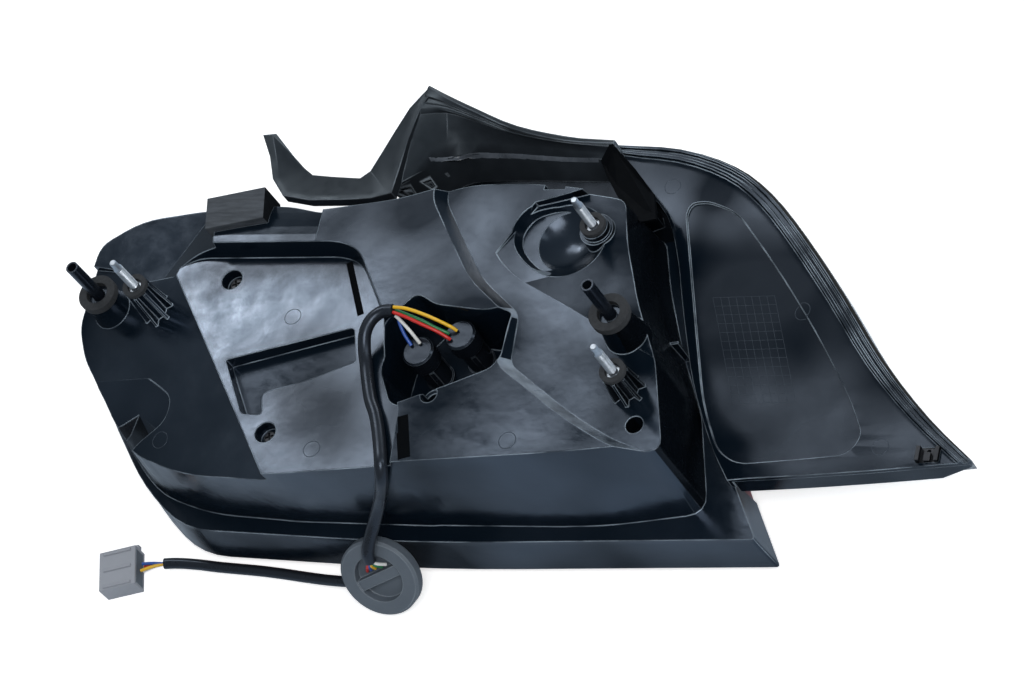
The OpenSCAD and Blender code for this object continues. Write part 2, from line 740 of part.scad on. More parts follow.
// Hook: inner back edge and inner rim of each section from its tip, and its outer rim
hook_back = [
    [-197, 112, 90], [-184, 99, 86], [-175, 91, 82], [-169, 87, 80], [-155, 85.5, 80], [-142, 84.5, 80],
    [-134.5, 84, 80], [-128.5, 89, 80], [-123, 99.5, 82], [-115, 115, 85], [-107, 129.5, 88],
    [-101, peak_reach - 5, 89]
];
hook_rim = [
    [-198, 110, 92], [-192.5, 95, 90], [-188, 82, 88], [-180, 73, 86], [-164, 70, 85], [-143, 70.5, 84],
    [-122, 71, 84], [-113, 74, 82], [-111, 89, 84], [-107.5, 109, 87],
    [-102, peak_reach - 12, 90], [-96, peak_reach - 1, 91]
];
hook_outer = [
    [-205, 110], [-197, 95], [-192, 80], [-183, 69], [-164, 66], [-143, 66.5], [-121, 67], [-108.5, 72],
    [-106, 89], [-103, 108], [-98, peak_reach - 13], [-92.5, peak_reach - 2]
];
hook_lip_h = 8;
module upper_trim() {
    color("#1b1d20") translate(middle) union() {
        loft([
            for (i = [0 : len(trim_fold) - 1])
                let (
                    foot = trim_foot[i],
                    fold = trim_fold[i],
                    top = trim_rim[i],
                    across = top - fold,
                    up = [0, -across.z, across.y] / norm([0, -across.z, across.y]),
                    on = [for (p = trim_profile) fold + across * p[0] + up * p[1]]
                )
                [
                    [foot.x, foot.y, ledge_z + fit_gap / 2], fold, each on, top + up * 1.6,
                    top + [0, 1.6, 0.2],
                    top - up * trim_wall, fold + across * 0.7 - up * (trim_wall + 1),
                    fold + across * 0.3 - up * (trim_wall + 1), fold - up * trim_wall,
                    [foot.x, foot.y + trim_wall, ledge_z + fit_gap / 2]
                ]
        ]);
        loft([
            for (i = [0 : len(hook_rim) - 1])
                let (back = hook_back[i], in = hook_rim[i], out = hook_outer[i])
                [
                    back, in, [out.x, out.y, in.z], [out.x, out.y, in.z - hook_lip_h],
                    [(in.x + out.x) / 2, (in.y + out.y) / 2, in.z - hook_lip_h], back - [0, 0, trim_wall]
                ]
        ]);
    }
}

// Lens over the main body, with a rounded lower edge
module lens_red() {
    top = ledge_z - flange_t + groove_depth - seal_t;
    side = flange_lip + fit_gap;
    inner = side + lens_wall;
    color("#7c0f12") translate(middle) difference() {
        intersection() {
            loft([
                lift(flared(side + 7, 0), 0), lift(flared(side + 3, 0.9), 0.9),
                lift(flared(side + 0.8, 3), 3), lift(flared(side, 6), 6), lift(flared(side, top), top + 1)
            ]);
            translate([-big, -big, 0]) cube([2 * big, 2 * big, top]);
        }
        loft([
            lift(flared(inner + 5, lens_wall), lens_wall),
            lift(flared(inner + 1, lens_wall + 2), lens_wall + 2),
            lift(flared(inner, lens_wall + 5), lens_wall + 5),
            lift(flared(inner, top), top + 2)
        ]);
    }
}

// Clear lens under the side panel, whose edge stands out past the panel's rim
clear_out = 2.2;
clear_depth = 15;
clear_in = 10;
clear_first = panel_skirt_t + fit_gap;
clear_last = 0;
module lens_clear() {
    t = lens_wall;
    color("#c9ccd0") translate(middle) difference() {
        panel_block(
            clear_out, clear_in, clear_first, clear_last, -clear_depth,
            -panel_wall - panel_seal_t - fit_gap
        );
        panel_block(clear_out - t, clear_in + t, clear_first + t, clear_last + t, -clear_depth + t, 4);
    }
}

// Seals between the lenses and what they close
seal_t = 1.2;
panel_seal_t = 0.8;
module main_seal() {
    low = ledge_z - flange_t + groove_depth - seal_t;
    color("#222426") translate(middle) difference() {
        slab(ring_in(lens_outline, flange_lip + fit_gap), low, low + seal_t);
        slab(ring_in(lens_outline, flange_lip + fit_gap + lens_wall), low - 1, low + seal_t + 1);
    }
}
module panel_seal() {
    low = -panel_wall - panel_seal_t;
    in = 0.3;
    w = lens_wall - 2 * in;
    color("#222426") translate(middle) difference() {
        panel_block(
            clear_out - in, clear_in + in, clear_first + in, clear_last + in, low, -panel_wall - 0.15
        );
        panel_block(
            clear_out - in - w, clear_in + in + w, clear_first + in + w, clear_last + in + w, low - 3, 0
        );
    }
}

// Reflector inside the main lens: a dish round the bulbs, held by the two screws
reflector_z = 22;
reflector_t = 2;
dish_at = [-33, -50];
dish_turn = 23;
dish_r = 44;
dish_top = 50;
function dish_ring(rx, ry, z) =
    [for (a = [0 : 10 : 350])
        let (p = [rx * cos(a), ry * sin(a)])
        [dish_at.x + p.x * cos(dish_turn) - p.y * sin(dish_turn),
            dish_at.y + p.x * sin(dish_turn) + p.y * cos(dish_turn), z]];
module dish(g) {
    low = g > 0 ? reflector_z : reflector_z - 1;
    loft([
        for (k = [0 : 6])
            let (
                t = k / 6,
                r = dish_r * sqrt(1 - 0.72 * t * t) + g,
                z = reflector_z + (dish_top - reflector_z) * t + g
            )
            dish_ring(r + 0.75 * dish_r, r, k == 0 ? low : z)
    ]);
}
module reflector() {
    rim_in = flange_lip + fit_gap + lens_wall + 1.5;
    color("#8f9296") translate(middle) difference() {
        union() {
            difference() {
                slab(ring_in(lens_outline, rim_in), reflector_z, reflector_z + 8);
                slab(ring_in(lens_outline, rim_in + reflector_t), reflector_z + reflector_t, reflector_z + 9);
            }
            dish(reflector_t);
            for (at = [screw_upper_at, screw_lower_at])
                translate([at.x, at.y, reflector_z])
                    cylinder(
                        d = screw_d + 6, h = screw_seat_z(at) - wall - fit_gap - reflector_z, $fn = 40
                    );
        }
        dish(0);
        for (at = bulb_at)
            translate([at.x, at.y, reflector_z]) cylinder(d = bulb_d + 2, h = dish_top, $fn = 48);
        for (at = [screw_upper_at, screw_lower_at])
            translate([at.x, at.y, screw_seat_z(at) - wall - screw_len])
                cylinder(d = screw_d + 2 * fit_gap, h = screw_len, $fn = 32);
    }
}

module foam_block() {
    color("#26282a") translate(middle) translate([foam_at.x, foam_at.y, foam_seat_z + fit_gap])
        rotate([0, 0, foam_turn]) translate([-foam_len / 2, -foam_w / 2, 0])
        cube([foam_len, foam_w, foam_h]);
}

// Stud: collar on the boss, root in it, shank and lead-in tip above
stud_collar_h = 0.5;
module stud(at, seat) {
    color("#c4c7c9") translate(middle) translate([at.x, at.y, seat]) union() {
        translate([0, 0, -stud_root + 2])
            cylinder(d = stud_d, h = stud_root + stud_len - stud_tip_len - 2, $fn = 48);
        translate([0, 0, fit_gap / 2]) cylinder(d = stud_collar_d, h = stud_collar_h, $fn = 48);
        translate([0, 0, stud_len - stud_tip_len - tiny])
            cylinder(d1 = stud_d, d2 = stud_tip_d, h = 1.5, $fn = 48);
        translate([0, 0, stud_len - stud_tip_len + 1])
            cylinder(d = stud_tip_d, h = stud_tip_len - 1, $fn = 48);
    }
}
module stud_washer(at, seat) {
    color("#333537") translate(middle) translate([at.x, at.y, seat + fit_gap / 2]) difference() {
        cylinder(d = stud_washer_d, h = stud_washer_t, $fn = 64);
        translate([0, 0, -1])
            cylinder(d = stud_collar_d + 2 * fit_gap, h = stud_washer_t + 2, $fn = 48);
    }
}

// Locating peg: plug in the boss, foot on it, hollow-ended shank above
module peg(at, seat) {
    color("#16181a") translate(middle) translate([at.x, at.y, seat]) difference() {
        union() {
            translate([0, 0, -plug_len + 1]) cylinder(d = plug_d, h = plug_len, $fn = 48);
            translate([0, 0, fit_gap / 2]) cylinder(d = peg_foot_d, h = 1.2, $fn = 64);
            cylinder(d = peg_d, h = peg_len, $fn = 64);
        }
        translate([0, 0, peg_len - 14]) cylinder(d = peg_bore, h = 15, $fn = 32);
    }
}
module peg_washer(at, seat) {
    color("#3a3837") translate(middle) translate([at.x, at.y, seat + fit_gap / 2]) difference() {
        cylinder(d = peg_washer_d, h = peg_washer_t, $fn = 64);
        translate([0, 0, -1]) cylinder(d = peg_foot_d + 2 * fit_gap, h = peg_washer_t + 2, $fn = 64);
    }
}

screw_head_h = 3.2;
module screw(at) {
    color("#2b2d30") translate(middle) translate([at.x, at.y, screw_seat_z(at) + fit_gap / 2])
        difference() {
        union() {
            cylinder(d1 = screw_head_d, d2 = screw_head_d * 0.72, h = screw_head_h, $fn = 48);
            translate([0, 0, -screw_len + 1]) cylinder(d = screw_d, h = screw_len, $fn = 32);
        }
        for (a = [0, 90])
            rotate([0, 0, a + 20]) translate([-screw_head_d * 0.28, -0.6, screw_head_h - 1.6])
                cube([screw_head_d * 0.56, 1.2, 3]);
    }
}

// Bulb holder in the pocket: flange on its floor, neck through it, body under the cap
holder_neck_d = 14;
holder_flange_d = 18.4;
holder_base_z = pocket_z + fit_gap / 2;
cap_z = holder_base_z + 2 + holder_h;
module bulb_holder(at) {
    color("#1c1e20") translate(middle) translate([at.x, at.y, holder_base_z]) difference() {
        union() {
            cylinder(d = holder_flange_d, h = 2.4, $fn = 64);
            cylinder(d = holder_d, h = 2 + holder_h, $fn = 64);
            translate([0, 0, -wall - 4]) cylinder(d = holder_neck_d, h = wall + 5, $fn = 48);
            for (a = [60, 180, 300])
                rotate([0, 0, a]) translate([holder_d / 2 - 0.6, -1.5, 1]) cube([1.4, 3, holder_h - 6]);
        }
        translate([0, 0, -wall - 5]) cylinder(d = bulb_d * 0.6 + 2 * fit_gap, h = 5, $fn = 48);
    }
}
cap_lap = 4;
module bulb_cap(at) {
    color("#111315") translate(middle) translate([at.x, at.y, cap_z - cap_lap]) difference() {
        union() {
            cylinder(d = cap_d, h = cap_h - 1.2, $fn = 64);
            translate([0, 0, cap_h - 1.2 - tiny]) cylinder(d1 = cap_d, d2 = cap_d - 2.4, h = 1.2, $fn = 64);
        }
        translate([0, 0, -1]) cylinder(d = holder_d + 2 * fit_gap, h = cap_lap + 1 + fit_gap, $fn = 64);
    }
}

// Bulb under the pocket's floor: base in the holder's neck, rounded glass below
module bulb(at) {
    top = pocket_z - wall - 0.4;
    neck = bulb_d * 0.6;
    color("#d9a070") translate(middle) translate([at.x, at.y, top]) rotate_extrude($fn = 64)
        polygon(concat(
            [[0, 0], [neck / 2, 0], [neck / 2, -6], [bulb_d / 2, -11]],
            [for (a = [0 : 10 : 80]) [bulb_d / 2 * cos(a), -bulb_len + bulb_d / 2 - bulb_d / 2 * sin(a)]],
            [[0, -bulb_len]]
        ));
}

// Grommet: disc with a bar across its closed opening and a side spout behind for the tail
grommet_lean = 56;
grommet_at = [-84, -147.6, 38];
spout_d = tail_d + 4;
spout_len = 14;
spout_from = [-8, -11, -5];
// The disc's own frame: Z out of its face, Y up its slope, origin at the middle of its back
module on_grommet() {
    translate([grommet_at.x, grommet_at.y - grommet_at.z / tan(grommet_lean), 0])
        rotate([grommet_lean, 0, 0]) translate([0, grommet_d / 2, 0]) children();
}
grommet_web = 3;
grommet_bar_turn = 24;
module grommet() {
    color("#303234") translate(middle) on_grommet() difference() {
        union() {
            difference() {
                union() {
                    cylinder(d = grommet_d - 3, h = grommet_t, $fn = 96);
                    translate([0, 0, 1.5]) cylinder(d = grommet_d, h = grommet_t - 3, $fn = 96);
                    translate([0, 0, grommet_t - 1.5 - tiny])
                        cylinder(d1 = grommet_d, d2 = grommet_d - 3, h = 1.5, $fn = 96);
                }
                translate([0, 0, grommet_web]) cylinder(d = grommet_bore, h = grommet_t, $fn = 64);
            }
            rotate([0, 0, grommet_bar_turn]) translate([-grommet_bore / 2 - 1, -grommet_bar / 2, 0])
                cube([grommet_bore + 2, grommet_bar, grommet_t - 1]);
            translate(spout_from) rotate([0, -90, 0]) cylinder(d = spout_d, h = spout_len, $fn = 48);
        }
    }
}

// Connector's frame: X along it towards its wires, origin at the middle of its wire end
connector_at = [-266.5, -154.2];
connector_turn = 15;
module on_connector() {
    translate([connector_at.x, connector_at.y, 0]) rotate([0, 0, connector_turn]) children();
}
connector_wall = 1.6;
connector_seal_t = 3.6;
mouth = [connector_w - 2 * connector_wall, connector_h - 2 * connector_wall];
module connector() {
    color("#8f8f96") translate(middle) on_connector() difference() {
        union() {
            translate([-connector_len, -connector_w / 2, 0])
                cube([connector_len, connector_w, connector_h]);
            for (y = [-connector_w / 2 + 2, 0, connector_w / 2 - 2])
                translate([-connector_len + 3, y - 0.8, connector_h - tiny])
                    cube([connector_len - 6, 1.6, 0.8]);
            translate([-4, connector_w / 2 - tiny, connector_h * 0.35])
                cube([4, 2.6, connector_h * 0.3]);
            translate([-connector_len + 3, connector_w / 2 - tiny, connector_h * 0.35])
                cube([connector_len - 3, 1.2, connector_h * 0.3]);
        }
        translate([-connector_len - 1, -mouth.x / 2, connector_wall])
            cube([connector_len - 8 + 1, mouth.x, mouth.y]);
        translate([-connector_seal_t, -mouth.x / 2, connector_wall])
            cube([connector_seal_t + 1, mouth.x, mouth.y]);
    }
}
module connector_seal() {
    color("#5d6066") translate(middle) on_connector()
        translate([-connector_seal_t + fit_gap, -mouth.x / 2 + fit_gap, connector_wall + fit_gap])
        cube([connector_seal_t - fit_gap, mouth.x - 2 * fit_gap, mouth.y - 2 * fit_gap]);
}

// Routes of the harness, laid by hand
sheath_route = [
    [-66, -30, 116.4], [-73, -31, 116.8], [-79, -36, 116.4], [-82, -44, 115], [-82, -53, 111.5],
    [-79.5, -63, 109], [-76, -73, 109], [-70, -87, 110], [-64, -97, 110.8], [-59, -108, 111.6],
    [-54, -121, 112.7], [-51, -130.6, 112.9], [-51.5, -136.8, 107.4], [-55.5, -138.4, 98], [-61, -139, 87],
    [-67, -141, 76], [-73, -145.5, 66], [-78, -151.5, 58], [-81.5, -157, 51.8], [-83, -160.2, 46.7],
    [-84, -162.3, 38.5], [-84, -163.4, 31]
];
tail_route = [
    [-106.3, -160.8, 9.6], [-114, -160.6, 9.2], [-124, -159.5, 7.6], [-136, -157.8, 5.6],
    [-150, -155.8, 4.2], [-164, -154, 3.7], [-180, -152.5, 3.7], [-196, -151.5, 3.7],
    [-212, -150.5, 3.7], [-226, -149.3, 3.8], [-240, -149, 4.4], [-252, -150.4, 5.6], [-266.2, -154.2, 6.6]
];
wire_end_z = cap_z - cap_lap + cap_h + 0.8;
yellow_route = [
    [-65.2, -28.6, 118.2], [-57, -29.4, 118], [-48, -31, 115], [-39, -33, 110.5], [-31, -35, 105],
    [-28, -36, wire_end_z]
];
red_route = [
    [-65.2, -31.6, 117.4], [-57, -34, 116], [-47, -37, 112], [-38, -39.5, 107.6], [-32.5, -41.5, 103.6],
    [-31, -42, wire_end_z]
];
green_route = [
    [-65.2, -28.8, 114.6], [-57, -31.6, 114.2], [-48, -34, 111.2], [-40, -36.4, 106.6],
    [-34.4, -37.8, 103.4], [-33, -38, wire_end_z]
];
white_route = [
    [-64.7, -32.4, 114.2], [-60, -36, 112.4], [-55, -40.4, 108.4], [-52, -43.4, 104],
    [-51, -44.5, wire_end_z]
];
blue_route = [
    [-64.6, -30.5, 112.3], [-63, -35.4, 110.4], [-60.4, -40.6, 106.6], [-57.6, -44.4, 103.4],
    [-56.4, -46, wire_end_z]
];
sheath_sides = 10;
module sheath() { color("#131416") translate(middle) tube(sheath_route, sheath_d, sheath_sides); }
module tail() { color("#131416") translate(middle) tube(tail_route, tail_d, 8); }
module wire_yellow() { color("#e8b21a") translate(middle) tube(yellow_route, wire_d, 8); }
module wire_red() { color("#c8281e") translate(middle) tube(red_route, wire_d, 8); }
module wire_green() { color("#1d7a3a") translate(middle) tube(green_route, wire_d, 8); }
module wire_white() { color("#e4e4e2") translate(middle) tube(white_route, wire_d, 8); }
module wire_blue() { color("#2a4f9c") translate(middle) tube(blue_route, wire_d, 8); }

housing();
side_panel();
upper_trim();
lens_red();
lens_clear();
reflector();
main_seal();
panel_seal();
foam_block();
panel_clip();
stud(stud_left_at, boss_z);  // stud_left
stud(stud_upper_at, upper_boss_z);  // stud_upper
stud(stud_lower_at, boss_z);  // stud_lower
stud_washer(stud_left_at, boss_z);  // washer_stud_left
stud_washer(stud_upper_at, upper_boss_z);  // washer_stud_upper
stud_washer(stud_lower_at, boss_z);  // washer_stud_lower
peg(peg_left_at, left_peg_z);  // peg_left
peg(peg_right_at, boss_z);  // peg_right
peg_washer(peg_left_at, left_peg_z);  // washer_peg_left
peg_washer(peg_right_at, boss_z);  // washer_peg_right
screw(screw_upper_at);  // screw_upper
screw(screw_lower_at);  // screw_lower
bulb_holder(bulb_at[0]);  // bulb_holder_1
bulb_holder(bulb_at[1]);  // bulb_holder_2
bulb_cap(bulb_at[0]);  // bulb_cap_1
bulb_cap(bulb_at[1]);  // bulb_cap_2
bulb(bulb_at[0]);  // bulb_1
bulb(bulb_at[1]);  // bulb_2
grommet();
connector();
connector_seal();
sheath();
tail();
wire_yellow();
wire_red();
wire_green();
wire_white();
wire_blue();
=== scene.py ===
import math

import bmesh
import bpy
from mathutils import Matrix, Vector
from mathutils.bvhtree import BVHTree


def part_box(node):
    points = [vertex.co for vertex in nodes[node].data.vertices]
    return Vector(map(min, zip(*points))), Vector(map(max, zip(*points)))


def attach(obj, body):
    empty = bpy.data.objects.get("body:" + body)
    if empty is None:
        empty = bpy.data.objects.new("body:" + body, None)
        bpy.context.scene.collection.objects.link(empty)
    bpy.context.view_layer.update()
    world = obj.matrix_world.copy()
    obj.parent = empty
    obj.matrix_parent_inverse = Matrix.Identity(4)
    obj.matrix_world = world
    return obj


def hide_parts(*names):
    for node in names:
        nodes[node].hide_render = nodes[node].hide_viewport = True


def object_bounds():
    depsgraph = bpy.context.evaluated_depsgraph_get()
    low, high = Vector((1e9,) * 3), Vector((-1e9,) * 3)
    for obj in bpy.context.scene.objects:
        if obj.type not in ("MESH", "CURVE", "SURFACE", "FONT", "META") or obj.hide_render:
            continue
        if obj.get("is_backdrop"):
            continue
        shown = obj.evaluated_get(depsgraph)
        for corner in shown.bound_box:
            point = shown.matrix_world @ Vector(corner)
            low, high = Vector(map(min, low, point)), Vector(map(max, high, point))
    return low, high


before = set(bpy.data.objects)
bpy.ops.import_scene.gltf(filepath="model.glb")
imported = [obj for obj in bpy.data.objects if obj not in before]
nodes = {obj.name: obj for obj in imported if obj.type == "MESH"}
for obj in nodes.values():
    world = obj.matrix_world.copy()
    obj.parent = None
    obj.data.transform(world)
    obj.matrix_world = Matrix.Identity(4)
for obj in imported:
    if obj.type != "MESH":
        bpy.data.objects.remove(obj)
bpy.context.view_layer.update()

# The part's source counts in mm from a point of its own. This is its shift into the row frame.
SHIFT = Vector((7.5, 2.7, 0.0))


def P(x, y, z):
    """A point of the part's source in the row frame, in metres."""
    return (Vector((x, y, z)) + SHIFT) / 1000


# ---- camera --------------------------------------------------------------------------------------
# Worked out from the photograph: a long lens, and the camera's own axes in the row frame.
PHOTO_WIDTH = 1024
FOCAL_PX = 4290
SENSOR_MM = 36.0
DISTANCE = 2.6
target = P(-13, -21, 60)
right = Vector((0.89709238, 0.20766622, -0.39))
up = Vector((0.0, 0.88266641, 0.47))
back = Vector((0.44184303, -0.42163342, 0.79183332))
cam_data = bpy.data.cameras.new("camera")
cam_data.sensor_width = SENSOR_MM
cam_data.lens = FOCAL_PX / PHOTO_WIDTH * SENSOR_MM
cam_data.clip_end = 50
cam = bpy.data.objects.new("camera", cam_data)
bpy.context.collection.objects.link(cam)
eye = target + back * DISTANCE
rows = [[right[i], up[i], back[i], eye[i]] for i in range(3)] + [[0, 0, 0, 1]]
cam.matrix_world = Matrix(rows)
bpy.context.scene.camera = cam


# ---- materials -----------------------------------------------------------------------------------
def node_at(tree, kind, **values):
    n = tree.nodes.new(kind)
    for k, v in values.items():
        setattr(n, k, v)
    return n


def noise(tree, scale, detail, rough, vector):
    n = node_at(tree, "ShaderNodeTexNoise")
    n.inputs["Scale"].default_value = scale
    n.inputs["Detail"].default_value = detail
    n.inputs["Roughness"].default_value = rough
    tree.links.new(vector, n.inputs["Vector"])
    return n.outputs["Fac"]


def spread(tree, value, low, high, from_low=0.3, from_high=0.7):
    n = node_at(tree, "ShaderNodeMapRange")
    n.inputs["From Min"].default_value = from_low
    n.inputs["From Max"].default_value = from_high
    n.inputs["To Min"].default_value = low
    n.inputs["To Max"].default_value = high
    tree.links.new(value, n.inputs["Value"])
    return n.outputs["Result"]


def maths(tree, operation, first, other):
    """Result of an operation on a socket and another socket or a number."""
    n = node_at(tree, "ShaderNodeMath", operation=operation)
    tree.links.new(first, n.inputs[0])
    if isinstance(other, float):
        n.inputs[1].default_value = other
    else:
        tree.links.new(other, n.inputs[1])
    return n.outputs["Value"]


def blend(tree, first, other, factor):
    """Mix of a colour, or a socket that gives one, with another colour."""
    n = node_at(tree, "ShaderNodeMix", data_type="RGBA")
    if isinstance(first, tuple):
        n.inputs["A"].default_value = (*first, 1)
    else:
        tree.links.new(first, n.inputs["A"])
    n.inputs["B"].default_value = (*other, 1)
    tree.links.new(factor, n.inputs["Factor"])
    return n.outputs["Result"]


RAMP_REACH = 0.15  # of the ramp along y, in metres to each side
LEAST_ROUGH = 0.02
BEVEL_SAMPLES = 6
PATCH_BAND = (0.36, 0.64)  # of the noise, from the least to the most specular
FLAT_COSINE = 0.997  # between bevelled and plain normal: above it no painted edge highlight is drawn
# noise that breaks up the painted highlight along edges
GLINT_NOISE_SCALE = 38
GLINT_LEAST = 0.12
GLINT_BAND = (0.36, 0.62)  # of the noise, from the weakest to the strongest painted edge highlight


def ramp_along_y(tree, where, stops):
    """Share along y, eased between stops of (place in metres, share)."""
    split = node_at(tree, "ShaderNodeSeparateXYZ")
    tree.links.new(where, split.inputs["Vector"])
    ramp = node_at(tree, "ShaderNodeValToRGB")
    ramp.color_ramp.interpolation = "EASE"
    points = ramp.color_ramp.elements
    while len(points) < len(stops):
        points.new(0.5)
    for point, (place, share) in zip(points, stops):
        point.position = (place + RAMP_REACH) / (2 * RAMP_REACH)
        point.color = (share, share, share, 1)
    along = spread(tree, split.outputs["Y"], 0, 1, -RAMP_REACH, RAMP_REACH)
    tree.links.new(along, ramp.inputs["Fac"])
    return ramp.outputs["Color"]


def edge_highlight_share(tree, where, normal, share, least):
    """Share of a painted highlight along an edge, from the angle between bevelled and plain normal,
    broken up by noise.
    """
    dot = node_at(tree, "ShaderNodeVectorMath", operation="DOT_PRODUCT")
    tree.links.new(normal, dot.inputs[0])
    tree.links.new(node_at(tree, "ShaderNodeNewGeometry").outputs["Normal"], dot.inputs[1])
    turned_away = spread(tree, dot.outputs["Value"], share, 0, least, FLAT_COSINE)
    broken_glint = spread(tree, noise(tree, GLINT_NOISE_SCALE, 2, 0.5, where), GLINT_LEAST, 1, *GLINT_BAND)
    return maths(tree, "MULTIPLY", turned_away, broken_glint)


def material(
    name, base, rough, rough_noise=(40, 0.05), grain=(), tint=None, metallic=0.0, bevel=0.0,
    transmission=0.0, ior=1.5, stretch=(1, 1, 1), specular=0.5, cool=(1, 1, 1), patches=None,
    along_y=None, edge=None,
):
    """Principled material. rough_noise is (scale, change) of the roughness, grain holds (scale,
    height in metres, detail) of each bump, tint is (scale, other colour, share) of a slow change
    of colour, patches is (scale, low, high) of the specular level, in noise patches of painted
    glare, along_y its stops along y, which paint where the glare falls, cool the blue tint of
    the specular, a painted colour of the light, and edge is (colour, share, least cosine) of a
    painted highlight along edges."""
    m = bpy.data.materials.new(name)
    m.use_nodes = True
    t = m.node_tree
    s = t.nodes["Principled BSDF"]
    s.inputs["Base Color"].default_value = (*base, 1)
    s.inputs["Metallic"].default_value = metallic
    s.inputs["IOR"].default_value = ior
    s.inputs["Specular IOR Level"].default_value = specular
    s.inputs["Specular Tint"].default_value = (*cool, 1)
    s.inputs["Transmission Weight"].default_value = transmission
    where = node_at(t, "ShaderNodeTexCoord").outputs["Object"]
    if stretch != (1, 1, 1):
        mapping = node_at(t, "ShaderNodeMapping")
        mapping.inputs["Scale"].default_value = stretch
        t.links.new(where, mapping.inputs["Vector"])
        where = mapping.outputs["Vector"]
    scale, change = rough_noise
    uneven = noise(t, scale, 4, 0.6, where)
    roughness = spread(t, uneven, max(rough - change, LEAST_ROUGH), rough + change)
    t.links.new(roughness, s.inputs["Roughness"])
    if patches:
        scale, low, high = patches
        level = spread(t, noise(t, scale, 1.5, 0.5, where), low, high, *PATCH_BAND)
        if along_y:
            level = maths(t, "MULTIPLY", level, ramp_along_y(t, where, along_y))
        t.links.new(level, s.inputs["Specular IOR Level"])
    normal = None
    if bevel:
        b = node_at(t, "ShaderNodeBevel", samples=BEVEL_SAMPLES)
        b.inputs["Radius"].default_value = bevel
        normal = b.outputs["Normal"]
    shade = base
    if tint:
        scale, other, share = tint
        shade = blend(t, shade, other, spread(t, noise(t, scale, 5, 0.6, where), 0, share))
    # painted highlight: a paler colour along edges, mixed into the base colour
    if edge:
        highlight_colour, share, least = edge
        shade = blend(t, shade, highlight_colour, edge_highlight_share(t, where, normal, share, least))
    if tint or edge:
        t.links.new(shade, s.inputs["Base Color"])
    for scale, height, detail in grain:
        bump = node_at(t, "ShaderNodeBump")
        bump.inputs["Strength"].default_value = 1.0
        bump.inputs["Distance"].default_value = height
        t.links.new(noise(t, scale, detail, 0.55, where), bump.inputs["Height"])
        if normal:
            t.links.new(normal, bump.inputs["Normal"])
        normal = bump.outputs["Normal"]
    if normal:
        t.links.new(normal, s.inputs["Normal"])
    return m


# blue tint of the reflections of the plastics: a painted colour of the light they reflect
COOL = (0.66, 0.79, 1.0)
# colour of the painted highlight along edges
EDGE_HIGHLIGHT = (0.42, 0.5, 0.58)
HOUSING_BLACK = (0.003, 0.0065, 0.0115)
GLOSS = material(
    "housing_gloss", HOUSING_BLACK, 0.2, (70, 0.07),
    [(9, 0.0009, 2), (34, 0.0003, 3), (260, 0.00002, 3), (1700, 0.000012, 2)], bevel=0.0011,
    cool=COOL, patches=(11, 0.1, 1.1), edge=(EDGE_HIGHLIGHT, 1.0, 0.9),
)
# painted shade: a darker, less specular copy of the gloss for faces where shade falls
SHADE = material(
    "housing_shade", (0.002, 0.003, 0.0045), 0.25, (70, 0.07),
    [(9, 0.0006, 2), (260, 0.00002, 3)], bevel=0.0011,
    cool=COOL, specular=0.14, edge=(EDGE_HIGHLIGHT, 0.4, 0.9),
)
# painted highlight: along_y raises the specular level near the pad's top and low end and lowers it
# in the middle, and its patches stand in for glare
PANEL = material(
    "panel_gloss", (0.0025, 0.0055, 0.01), 0.17, (55, 0.06),
    [(8, 0.0008, 2), (300, 0.000016, 3), (1700, 0.00001, 2)], bevel=0.0009,
    cool=COOL, patches=(15, 0.1, 1.0), edge=(EDGE_HIGHLIGHT, 1.0, 0.975),
    along_y=[(-0.12, 0.4), (-0.06, 0.26), (-0.01, 0.06), (0.045, 0.06), (0.08, 0.6), (0.11, 0.24)],
)
# painted highlight: a pale blue-grey colour on the slope between the middle and right planes,
# broken up by dark noise
CREASE_HIGHLIGHT = material(
    "housing_crease_highlight", (0.26, 0.31, 0.37), 0.3, (70, 0.07), [(260, 0.00002, 3)],
    tint=(45, (0.03, 0.038, 0.05), 1.0), bevel=0.0011, cool=COOL,
)
# matte black of the trim's bracket, also used for the strips of painted shade and painted cable
# reflection
BRACKET_AND_PAINTED_SHADE = material(
    "trim_black_and_painted_shade", (0.002, 0.0026, 0.0036), 0.7, (120, 0.06), [(900, 0.00002, 3)], specular=0.03,
)
FACET = material(
    "housing_facet", HOUSING_BLACK, 0.2, (70, 0.07),
    [(9, 0.0009, 2), (34, 0.0003, 3), (1700, 0.000012, 2)], bevel=0.0011,
    cool=COOL, patches=(14, 0.03, 0.55), edge=(EDGE_HIGHLIGHT, 1.0, 0.97),
)
# painted highlight: a pale line along the trim's fold, broken up by dark noise
GLEAM = material(
    "trim_fold", (0.14, 0.16, 0.19), 0.3, (120, 0.06), [(900, 0.00002, 3)],
    tint=(35, (0.02, 0.024, 0.03), 1.0),
)
MARK = material(
    "moulded_mark", (0.028, 0.036, 0.046), 0.25, (90, 0.05), [(300, 0.00002, 3)], cool=COOL,
    specular=0.4,
)
# its edge argument paints a paler highlight along the trim's edges and folds
TRIM = material(
    "trim_matte", (0.012, 0.0145, 0.018), 0.36, (120, 0.08),
    [(1500, 0.00003, 4), (16, 0.0006, 2)], tint=(30, (0.019, 0.023, 0.028), 0.8), bevel=0.0011,
    cool=(0.75, 0.88, 1.0), edge=((0.26, 0.3, 0.34), 0.7, 0.975),
)
LENS_RED = material(
    "lens_red", (0.36, 0.006, 0.01), 0.06, (30, 0.03), [(20, 0.0006, 2)], transmission=0.85,
    ior=1.49, bevel=0.0008,
)
LENS_CLEAR = material(
    "lens_clear", (0.86, 0.89, 0.93), 0.07, (30, 0.03), [(25, 0.0005, 2)], transmission=0.8,
    ior=1.49, bevel=0.0008,
)
SILVER = material(
    "reflector_silver", (0.62, 0.63, 0.65), 0.16, (60, 0.06), [(30, 0.0005, 2)], metallic=0.9,
)
